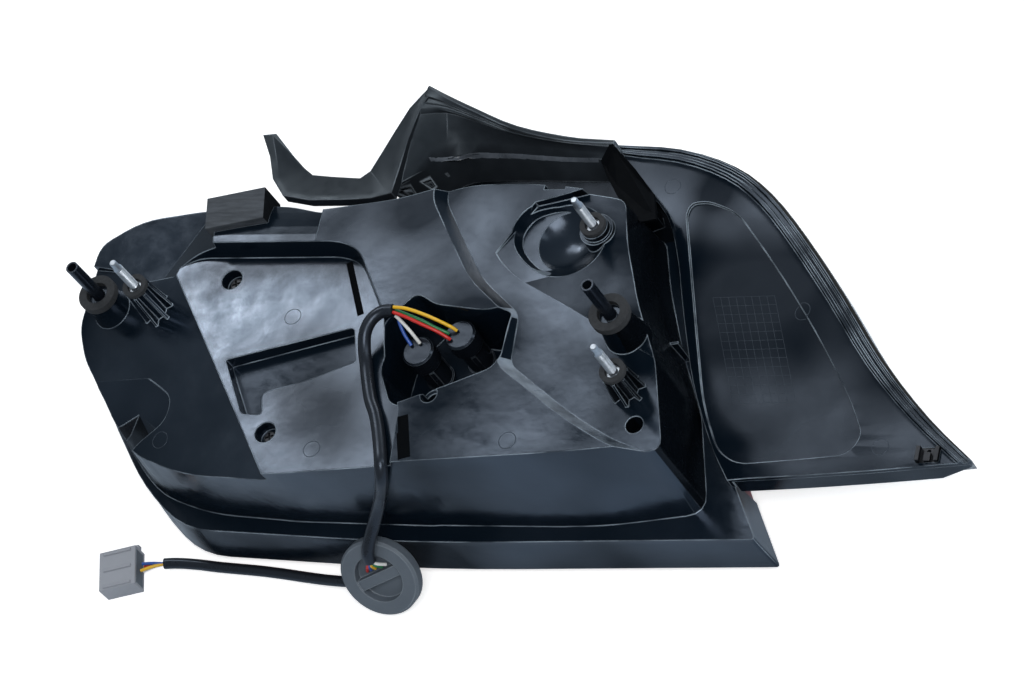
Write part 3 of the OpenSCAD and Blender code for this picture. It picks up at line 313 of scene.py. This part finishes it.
SEAL = material("seal", (0.012, 0.012, 0.012), 0.75, (200, 0.1), [(900, 0.00005, 3)])
FOAM = material(
    "foam_block", (0.075, 0.085, 0.1), 0.8, (300, 0.1), [(700, 0.00022, 5)],
    tint=(420, (0.03, 0.036, 0.044), 1.0), stretch=(0.16, 1, 1), bevel=0.0006,
)
# painted shade: a dark copy of the foam for the block's side that faces +x
FOAM_SHADED_SIDE = material(
    "foam_shaded_side", (0.004, 0.005, 0.0065), 0.85, (300, 0.1), [(700, 0.0002, 5)], bevel=0.0006,
    specular=0.08,
)
FOAM_WASHER = material(
    "foam_washer", (0.02, 0.022, 0.025), 0.9, (300, 0.06), [(1300, 0.00016, 5)],
    tint=(700, (0.038, 0.041, 0.046), 0.9), bevel=0.0007,
)
ZINC = material(
    "zinc", (0.5, 0.54, 0.59), 0.36, (200, 0.08), [(900, 0.00003, 3)], metallic=0.9,
    tint=(160, (0.3, 0.33, 0.37), 0.8), bevel=0.0002,
)
DARK_STEEL = material(
    "steel_dark", (0.045, 0.047, 0.052), 0.34, (260, 0.1), [(700, 0.00003, 3)], metallic=0.9,
    bevel=0.0003,
)
BLACK = material(
    "plastic_black", (0.006, 0.008, 0.012), 0.22, (140, 0.06),
    [(60, 0.0002, 2), (1200, 0.00001, 3)], bevel=0.0006, cool=COOL, edge=(EDGE_HIGHLIGHT, 0.35, 0.9),
)
GLASS = material(
    "bulb_glass", (0.95, 0.62, 0.3), 0.03, (20, 0.02), [(40, 0.0002, 2)], transmission=0.95,
)
# its edge argument paints a paler highlight along the grommet's edges
GROMMET = material(
    "grommet_rubber", (0.1, 0.122, 0.15), 0.62, (150, 0.09),
    [(1100, 0.00006, 4), (40, 0.0003, 2)], tint=(60, (0.12, 0.145, 0.175), 0.7), bevel=0.0012,
    edge=((0.4, 0.45, 0.5), 0.6, 0.9),
)
GREY = material(
    "connector_grey", (0.36, 0.375, 0.42), 0.42, (120, 0.07), [(800, 0.00003, 3)],
    tint=(90, (0.31, 0.325, 0.365), 0.6), bevel=0.0007,
)
SHEATH = material(
    "sheath_black", (0.012, 0.014, 0.018), 0.3, (90, 0.07),
    [(60, 0.00012, 2), (900, 0.00002, 2)], cool=COOL,
)


def wire_material(name, color):
    darker = tuple(c * 0.8 for c in color)
    return material(name, color, 0.38, (200, 0.08), [(500, 0.00004, 3)], tint=(120, darker, 0.6))


WIRES = {
    "wire_yellow": wire_material("wire_yellow", (0.86, 0.5, 0.02)),
    "wire_red": wire_material("wire_red", (0.62, 0.025, 0.02)),
    "wire_green": wire_material("wire_green", (0.02, 0.2, 0.07)),
    "wire_white": wire_material("wire_white", (0.82, 0.82, 0.8)),
    "wire_blue": wire_material("wire_blue", (0.03, 0.1, 0.42)),
}


# ---- pieces --------------------------------------------------------------------------------------
def mesh_from(bm, name):
    """Mesh of a bmesh, which is freed."""
    me = bpy.data.meshes.new(name)
    bm.to_mesh(me)
    bm.free()
    return me


def angles(count):
    return [2 * math.pi * k / count for k in range(count)]


def loft(name, rings, sharp):
    """Closed solid through rings of points, shaded smooth up to an angle in degrees."""
    bm = bmesh.new()
    rings = [[bm.verts.new(p) for p in ring] for ring in rings]
    bm.faces.new(list(reversed(rings[0])))
    for a, b in zip(rings, rings[1:]):
        for k in range(len(a)):
            n = (k + 1) % len(a)
            bm.faces.new((a[k], a[n], b[n], b[k]))
    bm.faces.new(rings[-1])
    bmesh.ops.recalc_face_normals(bm, faces=bm.faces)
    me = mesh_from(bm, name)
    me.shade_smooth()
    me.set_sharp_from_angle(angle=math.radians(sharp))
    return me


def dress(obj, mat):
    obj.data.materials.clear()
    obj.data.materials.append(mat)


def add(name, mesh, mat):
    o = bpy.data.objects.new(name, mesh)
    bpy.context.collection.objects.link(o)
    dress(o, mat)
    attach(o, "root")
    return o


# ---- cords ---------------------------------------------------------------------------------------
def smooth_route(points, steps):
    """Points of a smooth curve through the given ones."""
    pts = [Vector(p) for p in points]
    out = []
    for i in range(len(pts) - 1):
        p0 = pts[i - 1] if i else 2 * pts[0] - pts[1]
        p1, p2 = pts[i], pts[i + 1]
        p3 = pts[i + 2] if i + 2 < len(pts) else 2 * pts[-1] - pts[-2]
        for k in range(steps + (1 if i == len(pts) - 2 else 0)):
            t = k / steps
            out.append(
                0.5 * (2 * p1 + t * (p2 - p0) + t * t * (2 * p0 - 5 * p1 + 4 * p2 - p3)
                       + t * t * t * (3 * p1 - 3 * p2 + p3 - p0))
            )
    return out


def tube_mesh(name, path, radius, sides):
    """Closed tube along a path, with frames carried along it."""
    last = len(path) - 1
    ref = None
    rings = []
    for i, p in enumerate(path):
        d = (path[min(i + 1, last)] - path[max(i - 1, 0)]).normalized()
        if ref is None:
            ref = d.orthogonal().normalized()
        ref = (ref - d * ref.dot(d)).normalized()
        side = d.cross(ref)
        rings.append([p + (math.cos(a) * ref + math.sin(a) * side) * radius for a in angles(sides)])
    return loft(name, rings, 50)


# All routes are in mm of the part's source. None stands for wire_end_z.
SHEATH_ROUTE = [
    (-66, -30, 116.4), (-73, -31, 116.8), (-79, -36, 116.4), (-82, -44, 115), (-82, -53, 111.5),
    (-79.5, -63, 109), (-76, -73, 109), (-70, -87, 110), (-64, -97, 110.8), (-59, -108, 111.6),
    (-54, -121, 112.7), (-51, -130.6, 112.9), (-51.5, -136.8, 107.4), (-55.5, -138.4, 98),
    (-61, -139, 87), (-67, -141, 76), (-73, -145.5, 66), (-78, -151.5, 58), (-81.5, -157, 51.8),
    (-83, -160.2, 46.7), (-84, -162.3, 38.5), (-84, -163.4, 31),
]
TAIL_ROUTE = [
    (-106.3, -160.8, 9.6), (-114, -160.6, 9.2), (-124, -159.5, 7.6), (-136, -157.8, 5.6),
    (-150, -155.8, 4.2), (-164, -154, 3.7), (-180, -152.5, 3.7), (-196, -151.5, 3.7),
    (-212, -150.5, 3.7), (-226, -149.3, 3.8), (-240, -149, 4.4), (-252, -150.4, 5.6),
    (-266.2, -154.2, 6.6),
]
WIRE_ROUTES = {
    "wire_yellow": [
        (-65.2, -28.6, 118.2), (-57, -29.4, 118), (-48, -31, 115), (-39, -33, 110.5),
        (-31, -35, 105), (-28, -36, None),
    ],
    "wire_red": [
        (-65.2, -31.6, 117.4), (-57, -34, 116), (-47, -37, 112), (-38, -39.5, 107.6),
        (-32.5, -41.5, 103.6), (-31, -42, None),
    ],
    "wire_green": [
        (-65.2, -28.8, 114.6), (-57, -31.6, 114.2), (-48, -34, 111.2), (-40, -36.4, 106.6),
        (-34.4, -37.8, 103.4), (-33, -38, None),
    ],
    "wire_white": [
        (-64.7, -32.4, 114.2), (-60, -36, 112.4), (-55, -40.4, 108.4), (-52, -43.4, 104),
        (-51, -44.5, None),
    ],
    "wire_blue": [
        (-64.6, -30.5, 112.3), (-63, -35.4, 110.4), (-60.4, -40.6, 106.6), (-57.6, -44.4, 103.4),
        (-56.4, -46, None),
    ],
}
ROUTE_STEPS, LEAD_STEPS = 6, 5
SHEATH_CUT, TAIL_CUT = 9, 7  # points left off each route's end, where the bare leads go on
SHEATH_RADIUS, TAIL_RADIUS, WIRE_RADIUS, LEAD_RADIUS = 0.00397, 0.00347, 0.00109, 0.00105
SHEATH_SIDES, WIRE_SIDES, LEAD_SIDES = 24, 14, 12
wire_end_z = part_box("bulb_cap_1")[1][2] * 1000 + 0.8  # just over the caps' tops

sheath_path = smooth_route([P(*p) for p in SHEATH_ROUTE], ROUTE_STEPS)[:-SHEATH_CUT]
tail_route = smooth_route([P(*p) for p in TAIL_ROUTE], ROUTE_STEPS)
lead_out = tail_route[-1]
tail_path = tail_route[:-TAIL_CUT]
sheath_mesh = tube_mesh("sheath_skin", sheath_path, SHEATH_RADIUS, SHEATH_SIDES)
sheath = add("sheath_skin", sheath_mesh, SHEATH)
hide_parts("sheath")
tail_mesh = tube_mesh("tail_skin", tail_path, TAIL_RADIUS, SHEATH_SIDES)
tail = add("tail_skin", tail_mesh, SHEATH)
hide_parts("tail")
for wire, route in WIRE_ROUTES.items():
    spots = [P(x, y, wire_end_z if z is None else z) for x, y, z in route]
    path = smooth_route(spots, ROUTE_STEPS)
    mesh = tube_mesh(wire + "_skin", path, WIRE_RADIUS, WIRE_SIDES)
    o = add(wire + "_skin", mesh, WIRES[wire])
    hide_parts(wire)


def leads(name, start, ends, bulge):
    """Bare wires that fan out of a sheath's end, one piece for each colour."""
    out = []
    for wire, end in ends:
        a, b = start + (end - start) * 0.02, end
        mid = a.lerp(b, 0.5) + bulge
        path = smooth_route([a - (b - a) * 0.4, a, mid, b], LEAD_STEPS)
        piece = "%s_%s" % (name, wire)
        o = add(piece, tube_mesh(piece, path, LEAD_RADIUS, LEAD_SIDES), WIRES[wire])
        out.append(o)
    return out


# The grommet's ring: its middle, its axis and the way up in its face.
ring_c = P(-84, -163.67, 24.9)
ring_axis = Vector((0, -0.829, 0.559))
ring_up = Vector((0, 0.559, 0.829))
into_ring = []
for wire, x, rise in (
    ("wire_red", -7.5, 4.4), ("wire_blue", -4.6, 5.4), ("wire_yellow", -1.6, 6.4),
    ("wire_green", 3.2, 7.6), ("wire_white", 6.4, 9.4),
):
    spot = ring_c + (Vector((x, 0, 0)) + ring_up * rise + ring_axis * 1.0) / 1000
    into_ring.append((wire, spot))
ring_leads = leads("ring_lead", sheath_path[-1], into_ring, ring_axis * 0.0016)
plug_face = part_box("connector")[1][0]
into_plug = []
for wire, dy, dz in (
    ("wire_blue", 2.2, 2.0), ("wire_yellow", -2.4, 1.8), ("wire_red", 2.0, -1.4),
    ("wire_white", -1.4, -1.2),
):
    spot = Vector((plug_face - 0.001, lead_out.y + dy / 1000, lead_out.z + dz / 1000))
    into_plug.append((wire, spot))
plug_leads = leads("plug_lead", tail_path[-1], into_plug, Vector((0, 0, 0.0008)))

# ---- carried-over nodes --------------------------------------------------------------------------
PLAIN = {
    "main_seal": SEAL, "panel_seal": SEAL, "foam_block": FOAM, "panel_clip": DARK_STEEL,
    "washer_stud_left": FOAM_WASHER, "washer_stud_upper": FOAM_WASHER,
    "washer_stud_lower": FOAM_WASHER, "washer_peg_left": FOAM_WASHER,
    "washer_peg_right": FOAM_WASHER, "peg_left": BLACK, "peg_right": BLACK,
    "screw_upper": DARK_STEEL, "screw_lower": DARK_STEEL, "bulb_holder_1": BLACK,
    "bulb_holder_2": BLACK, "bulb_cap_1": BLACK, "bulb_cap_2": BLACK, "bulb_1": GLASS,
    "bulb_2": GLASS, "grommet": GROMMET,
    "connector": GREY, "connector_seal": GROMMET, "reflector": SILVER,
    "stud_left": ZINC, "stud_upper": ZINC, "stud_lower": ZINC,
    "sheath": SHEATH, "tail": SHEATH,
}
for name, mat in {**PLAIN, **WIRES}.items():
    dress(nodes[name], mat)


WELD = 0.000004
CURVED = math.radians(60)  # the most that a curved CAD face turns from facet to facet
SAME_PLANE = math.radians(0.4)
UP_FACING = 0.8


def smooth_copy(node, mat, smooth_up, angle=34):
    """The CAD node's own mesh with its facets joined and shaded smooth. Edges between two
    up-facing planes stay crisp unless smooth_up."""
    src = nodes[node]
    bm = bmesh.new()
    bm.from_mesh(src.data)
    bm.faces.ensure_lookup_table()
    face_id = {}
    group = 0
    for f in bm.faces:
        if f.index in face_id:
            continue
        stack = [f]
        face_id[f.index] = group
        while stack:
            g = stack.pop()
            for e in g.edges:
                for h in e.link_faces:
                    if h.index not in face_id:
                        face_id[h.index] = group
                        stack.append(h)
        group += 1
    layer = bm.faces.layers.int.new("cad_face")
    for f in bm.faces:
        f[layer] = face_id[f.index]
    bmesh.ops.remove_doubles(bm, verts=bm.verts, dist=WELD)
    bmesh.ops.dissolve_degenerate(bm, edges=bm.edges, dist=WELD)
    limit = math.radians(angle)
    for e in bm.edges:
        if len(e.link_faces) != 2:
            e.smooth = False
            continue
        a, b = e.link_faces
        turn = a.normal.angle(b.normal, 3.0)
        if a[layer] == b[layer]:
            e.smooth = turn < CURVED
        elif turn > limit:
            e.smooth = False
        elif turn < SAME_PLANE:
            e.smooth = True
        else:
            e.smooth = smooth_up or not (a.normal.z > UP_FACING and b.normal.z > UP_FACING)
    for f in bm.faces:
        f.smooth = True
    o = add(node + "_skin", mesh_from(bm, node + "_skin"), mat)
    w = o.modifiers.new("weighted", "WEIGHTED_NORMAL")
    w.keep_sharp = True
    w.weight = 90
    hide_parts(node)
    return o


housing = smooth_copy("housing", GLOSS, False)
for mat in (SHADE, CREASE_HIGHLIGHT, FACET):
    housing.data.materials.append(mat)
SHADE_AT, CREASE_HIGHLIGHT_AT, FACET_AT = 1, 2, 3
for f in housing.data.polygons:
    q = f.center * 1000 - SHIFT
    x, y, z = f.normal
    if 0.5 < z < 0.7 and x > 0.2 and y > 0.2 and q.z > 98 and 0 < q.x < 112:
        f.material_index = CREASE_HIGHLIGHT_AT  # the slope from the middle plane to the right one, with a painted highlight
    elif abs(x - 0.05) < 0.02 and abs(y - 0.09) < 0.02 and q.x > 20 and q.z > 90:
        f.material_index = FACET_AT  # a facet of the right plane
    elif q.x > 20 and z < 0.7 and x > 0.3 and q.y > -118 and q.z > 30:
        f.material_index = SHADE_AT  # painted shade on whatever faces the gap to the panel
    elif q.x < -235 and q.y < -80 and z < 0.75 and q.z > 45:
        f.material_index = SHADE_AT  # painted shade on the scoop and the slopes round it
    elif q.y > 60 and q.z < 45:
        f.material_index = SHADE_AT  # painted shade on the ledge along the far edge
# the block's side that faces +x gets the painted shade
foam = nodes["foam_block"].data
foam.materials.append(FOAM_SHADED_SIDE)
for f in foam.polygons:
    if f.normal.x > 0.3:
        f.material_index = 1
panel = smooth_copy("side_panel", PANEL, True, 24)
trim = smooth_copy("upper_trim", TRIM, True, 24)
red = smooth_copy("lens_red", LENS_RED, True, 30)
clear = smooth_copy("lens_clear", LENS_CLEAR, True, 30)

# ---- threaded studs ------------------------------------------------------------------------------
def turned(name, profile):
    """Closed solid of revolution about +Z from (radius, height) pairs in mm, the lowest first."""
    rings = [
        [
            (r * math.cos(a) / 1000, r * math.sin(a) / 1000, z / 1000)
            for a in angles(STUD_SIDES)
        ]
        for r, z in profile
    ]
    return loft(name, rings, 38)


STUDS = (("stud_left", -243, -19), ("stud_upper", 48.5, 33), ("stud_lower", 94.5, -77))
STUD_SIDES = 40
STUD_TALL = 32  # above its seat, as all heights below, in mm
THREAD_FROM, THREAD_TO, PITCH = 3.4, 24.2, 1.0
SHANK_R, COLLAR_R, CREST_R, ROOT_R, TIP_R, END_R = 2.99, 4.48, 2.98, 2.62, 2.2, 1.7
for stud, x, y in STUDS:
    low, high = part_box(stud)
    seat = high[2] * 1000 - STUD_TALL
    profile = [
        (SHANK_R, low[2] * 1000 + 0.02), (SHANK_R, seat + 0.12),
        (COLLAR_R, seat + 0.12), (COLLAR_R, seat + 0.58), (SHANK_R, seat + 0.62),
    ]
    z = seat + THREAD_FROM
    while z < seat + THREAD_TO:
        profile += [(CREST_R, z), (CREST_R, z + 0.18), (ROOT_R, z + 0.5), (ROOT_R, z + 0.62)]
        z += PITCH
    profile += [
        (CREST_R, seat + 24.9), (TIP_R, seat + 26.4), (TIP_R, seat + 31.3), (END_R, seat + 31.98),
    ]
    mesh = turned(stud + "_skin", profile)
    mesh.transform(Matrix.Translation(P(x, y, 0)))
    o = add(stud + "_skin", mesh, ZINC)
    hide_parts(stud)

# ---- marks moulded into the back, and strips of painted shade, reflection and highlight ----------
RAY_FROM = 0.4  # metres above the floor, over everything
MARK_EDGE = -0.03  # mm, of a mark's borders, under the surface
MARK_STEP = 0.0012  # the most a surface rises across a mark, in metres for each mm of its width


def tree_of(obj):
    me = obj.data
    polygons = [tuple(p.vertices) for p in me.polygons]
    return BVHTree.FromPolygons([v.co.copy() for v in me.vertices], polygons)


def surface_z(tree, x, y):
    """Height of the uppermost surface at a point of the part's source, in metres, or None."""
    q = P(x, y, 0)
    hit = tree.ray_cast(Vector((q.x, q.y, RAY_FROM)), Vector((0, 0, -1)))
    return hit[0].z if hit[0] else None


def strip(bm, tree, points, width, height):
    """Raised line on the surface along points (x, y), with width and height, all in mm."""
    rows = []
    n = len(points)
    for i, p in enumerate(points):
        a, b = Vector(points[max(i - 1, 0)]), Vector(points[min(i + 1, n - 1)])
        d = (b - a).normalized()
        side = Vector((-d.y, d.x)) * width / 2
        z = surface_z(tree, *p)
        if z is None:
            return
        row = []
        for share, rise in (
            (-1, MARK_EDGE), (-0.6, height), (0, height), (0.6, height), (1, MARK_EDGE),
        ):
            x, y = p[0] + side.x * share, p[1] + side.y * share
            near = surface_z(tree, x, y)
            if near is None or abs(near - z) > width * MARK_STEP:
                near = z
            q = P(x, y, 0)
            row.append(bm.verts.new((q.x, q.y, near + rise / 1000)))
        rows.append(row)
    for a, b in zip(rows, rows[1:]):
        for k in range(len(a) - 1):
            bm.faces.new((a[k], b[k], b[k + 1], a[k + 1]))


def mark_piece(name, tree, lines, mat, width, height):
    """One piece of all the raised lines given."""
    bm = bmesh.new()
    for line in lines:
        strip(bm, tree, line, width, height)
    bmesh.ops.recalc_face_normals(bm, faces=bm.faces)
    me = mesh_from(bm, name)
    me.shade_smooth()
    o = add(name, me, mat)


def circle(x, y, r, steps=40):
    turns = [2 * math.pi * k / steps for k in range(steps + 1)]
    return [(x + r * math.cos(a), y + r * math.sin(a)) for a in turns]


def straight(x, y, dx, dy, steps=8):
    return [(x + dx * k / steps, y + dy * k / steps) for k in range(steps + 1)]


# The blank grid on the panel's pad, its rows shifted as the photograph shows them.
GRID_X, GRID_Y = 106, 17
GRID_STEP_X, GRID_STEP_Y = 5.1, 6
GRID_SKEW = 0.39
COLUMNS, ROWS = range(9), range(13)


def grid_point(column, row):
    down = row * GRID_STEP_Y
    return (GRID_X + column * GRID_STEP_X + GRID_SKEW * down, GRID_Y - down)


housing_tree = tree_of(nodes["housing"])
panel_tree = tree_of(nodes["side_panel"])
trim_tree = tree_of(nodes["upper_trim"])
HOUSING_MARKS = [(-143, -26), (-103, -119), (28, -114), (-219.7, -106.6)]
PANEL_MARKS = [(64, 94), (95, 2), (168, 5), (237, -88), (121, -104)]
# points along the trim's fold, where the painted highlight runs
FOLD = [
    (-95, 103, 0), (-82, 109.6, 0), (-67.5, 112.7, 0), (-48, 113.6, 0), (-28.4, 113.1, 0),
    (-8, 112.1, 0), (12, 111.1, 0),
]
ejector_lines = [circle(x, y, 5.4) for x, y in HOUSING_MARKS]
panel_lines = [circle(x, y, 5.2) for x, y in PANEL_MARKS]
# a dark strip of painted shade in the channel by the left plane's right side
channel_shade = straight(-114.8, 13, 18.6, -38)
# painted reflection of the cable: a dark strip on the back plate below it
cable_reflection = straight(-45.2, -98.5, 8.4, -28)
fold = [(q.x, q.y) for q in smooth_route(FOLD, ROUTE_STEPS)]
grid_lines = [[grid_point(c, r) for r in ROWS] for c in COLUMNS]
grid_lines += [[grid_point(c, r) for c in COLUMNS] for r in ROWS]
mark_piece("ejector_marks", housing_tree, ejector_lines, MARK, 0.5, 0.1)
mark_piece("panel_marks", panel_tree, panel_lines, MARK, 0.45, 0.08)
# the next three are painted: shade in the channel, the cable's reflection, and a highlight along
# the trim's fold
mark_piece("painted_channel_shade", housing_tree, [channel_shade], BRACKET_AND_PAINTED_SHADE, 5.0, 0.06)
mark_piece("painted_cable_reflection", housing_tree, [cable_reflection], BRACKET_AND_PAINTED_SHADE, 9.5, 0.05)
mark_piece("trim_fold_line", trim_tree, [fold], GLEAM, 2.0, 0.12)
mark_piece("panel_grid", panel_tree, grid_lines, MARK, 0.3, 0.06)

# ---- the trim's black bracket, down towards the gap between housing and panel --------------------
BRACKET_THICK = 2.2
BRACKET_OUTLINE = [
    (22, 119, 59), (44, 98, 61.5), (61, 79.5, 62), (69, 63, 70), (74, 53, 78), (69.5, 51.2, 79.2),
    (65.1, 50, 80), (52, 62, 75), (41, 73.5, 70), (27, 92, 63), (16, 108, 55),
]
bm = bmesh.new()
top = [bm.verts.new(P(x, y, z)) for x, y, z in BRACKET_OUTLINE]
low_ring = [bm.verts.new(P(x, y, z - BRACKET_THICK)) for x, y, z in BRACKET_OUTLINE]
bm.faces.new(top)
bm.faces.new(list(reversed(low_ring)))
for k in range(len(top)):
    n = (k + 1) % len(top)
    bm.faces.new((top[k], low_ring[k], low_ring[n], top[n]))
bmesh.ops.recalc_face_normals(bm, faces=bm.faces)
bracket = add("trim_bracket", mesh_from(bm, "trim_bracket"), BRACKET_AND_PAINTED_SHADE)

# ---- stage ---------------------------------------------------------------------------------------
FLOOR_SHADE, FLOOR_MIRRORED = (0.88, 0.88, 0.88), (0.42, 0.53, 0.66)  # and as reflections see it
FLOOR_GLOW = (("Is Camera Ray", 0.62), ("Is Transmission Ray", 0.3), ("Is Glossy Ray", 0.1))
bm = bmesh.new()
bmesh.ops.create_grid(bm, x_segments=1, y_segments=1, size=12)
floor = bpy.data.objects.new("floor", mesh_from(bm, "floor"))
bpy.context.collection.objects.link(floor)
fm = bpy.data.materials.new("floor_white")
fm.use_nodes = True
ft = fm.node_tree
fs = ft.nodes["Principled BSDF"]
fs.inputs["Roughness"].default_value = 0.9
fs.inputs["Specular IOR Level"].default_value = 0.1
path_info = node_at(ft, "ShaderNodeLightPath")
shaded = blend(ft, FLOOR_SHADE, FLOOR_MIRRORED, path_info.outputs["Is Glossy Ray"])
ft.links.new(shaded, fs.inputs["Base Color"])
glow = None
for ray, strength in FLOOR_GLOW:
    part = maths(ft, "MULTIPLY", path_info.outputs[ray], strength)
    glow = maths(ft, "MAXIMUM", glow, part) if glow else part
fs.inputs["Emission Color"].default_value = (1, 1, 1, 1)
ft.links.new(glow, fs.inputs["Emission Strength"])
floor.data.materials.append(fm)
floor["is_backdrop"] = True

world = bpy.data.worlds.new("world")
bpy.context.scene.world = world
world.use_nodes = True
bg = world.node_tree.nodes["Background"]
bg.inputs["Color"].default_value = (0.82, 0.92, 1.0, 1)
bg.inputs["Strength"].default_value = 0.28


DAYLIGHT = (0.97, 0.99, 1.0)


def lamp(name, at, size, power, color, towards=None, turn=0):
    """Area lamp that faces a point, or straight down with a turn about +Z in degrees."""
    data = bpy.data.lights.new(name, "AREA")
    data.shape = "RECTANGLE"
    data.size, data.size_y = size
    data.energy = power
    data.color = color
    o = bpy.data.objects.new(name, data)
    bpy.context.collection.objects.link(o)
    o.location = at
    if towards:
        away = Vector(at) - Vector(towards)
        o.rotation_euler = away.to_track_quat("Z", "Y").to_euler()
    else:
        o.rotation_euler = (0, 0, math.radians(turn))


lamp("key", (-1.139, 1.298, 1.9), (1.4, 0.7), 12.5, DAYLIGHT, turn=-20)
lamp("glare", (-1.56, 1.36, 1.88), (0.2, 0.3), 3.0, DAYLIGHT, turn=-20)
lamp("fill", (0.9, -0.9, 2.2), (1.2, 1.2), 30, (1.0, 1.0, 1.0), towards=(0, 0, 0.05))
lamp("side", (1.9, 0.6, 1.4), (0.5, 1.8), 8, (0.92, 0.97, 1.0), towards=(0.1, 0, 0.05))
lamp("rim", (0.2, 2.6, 0.55), (2.4, 0.5), 16, DAYLIGHT, towards=(0, 0, 0.05))

bpy.context.scene.view_settings.view_transform = "Standard"

low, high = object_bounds()
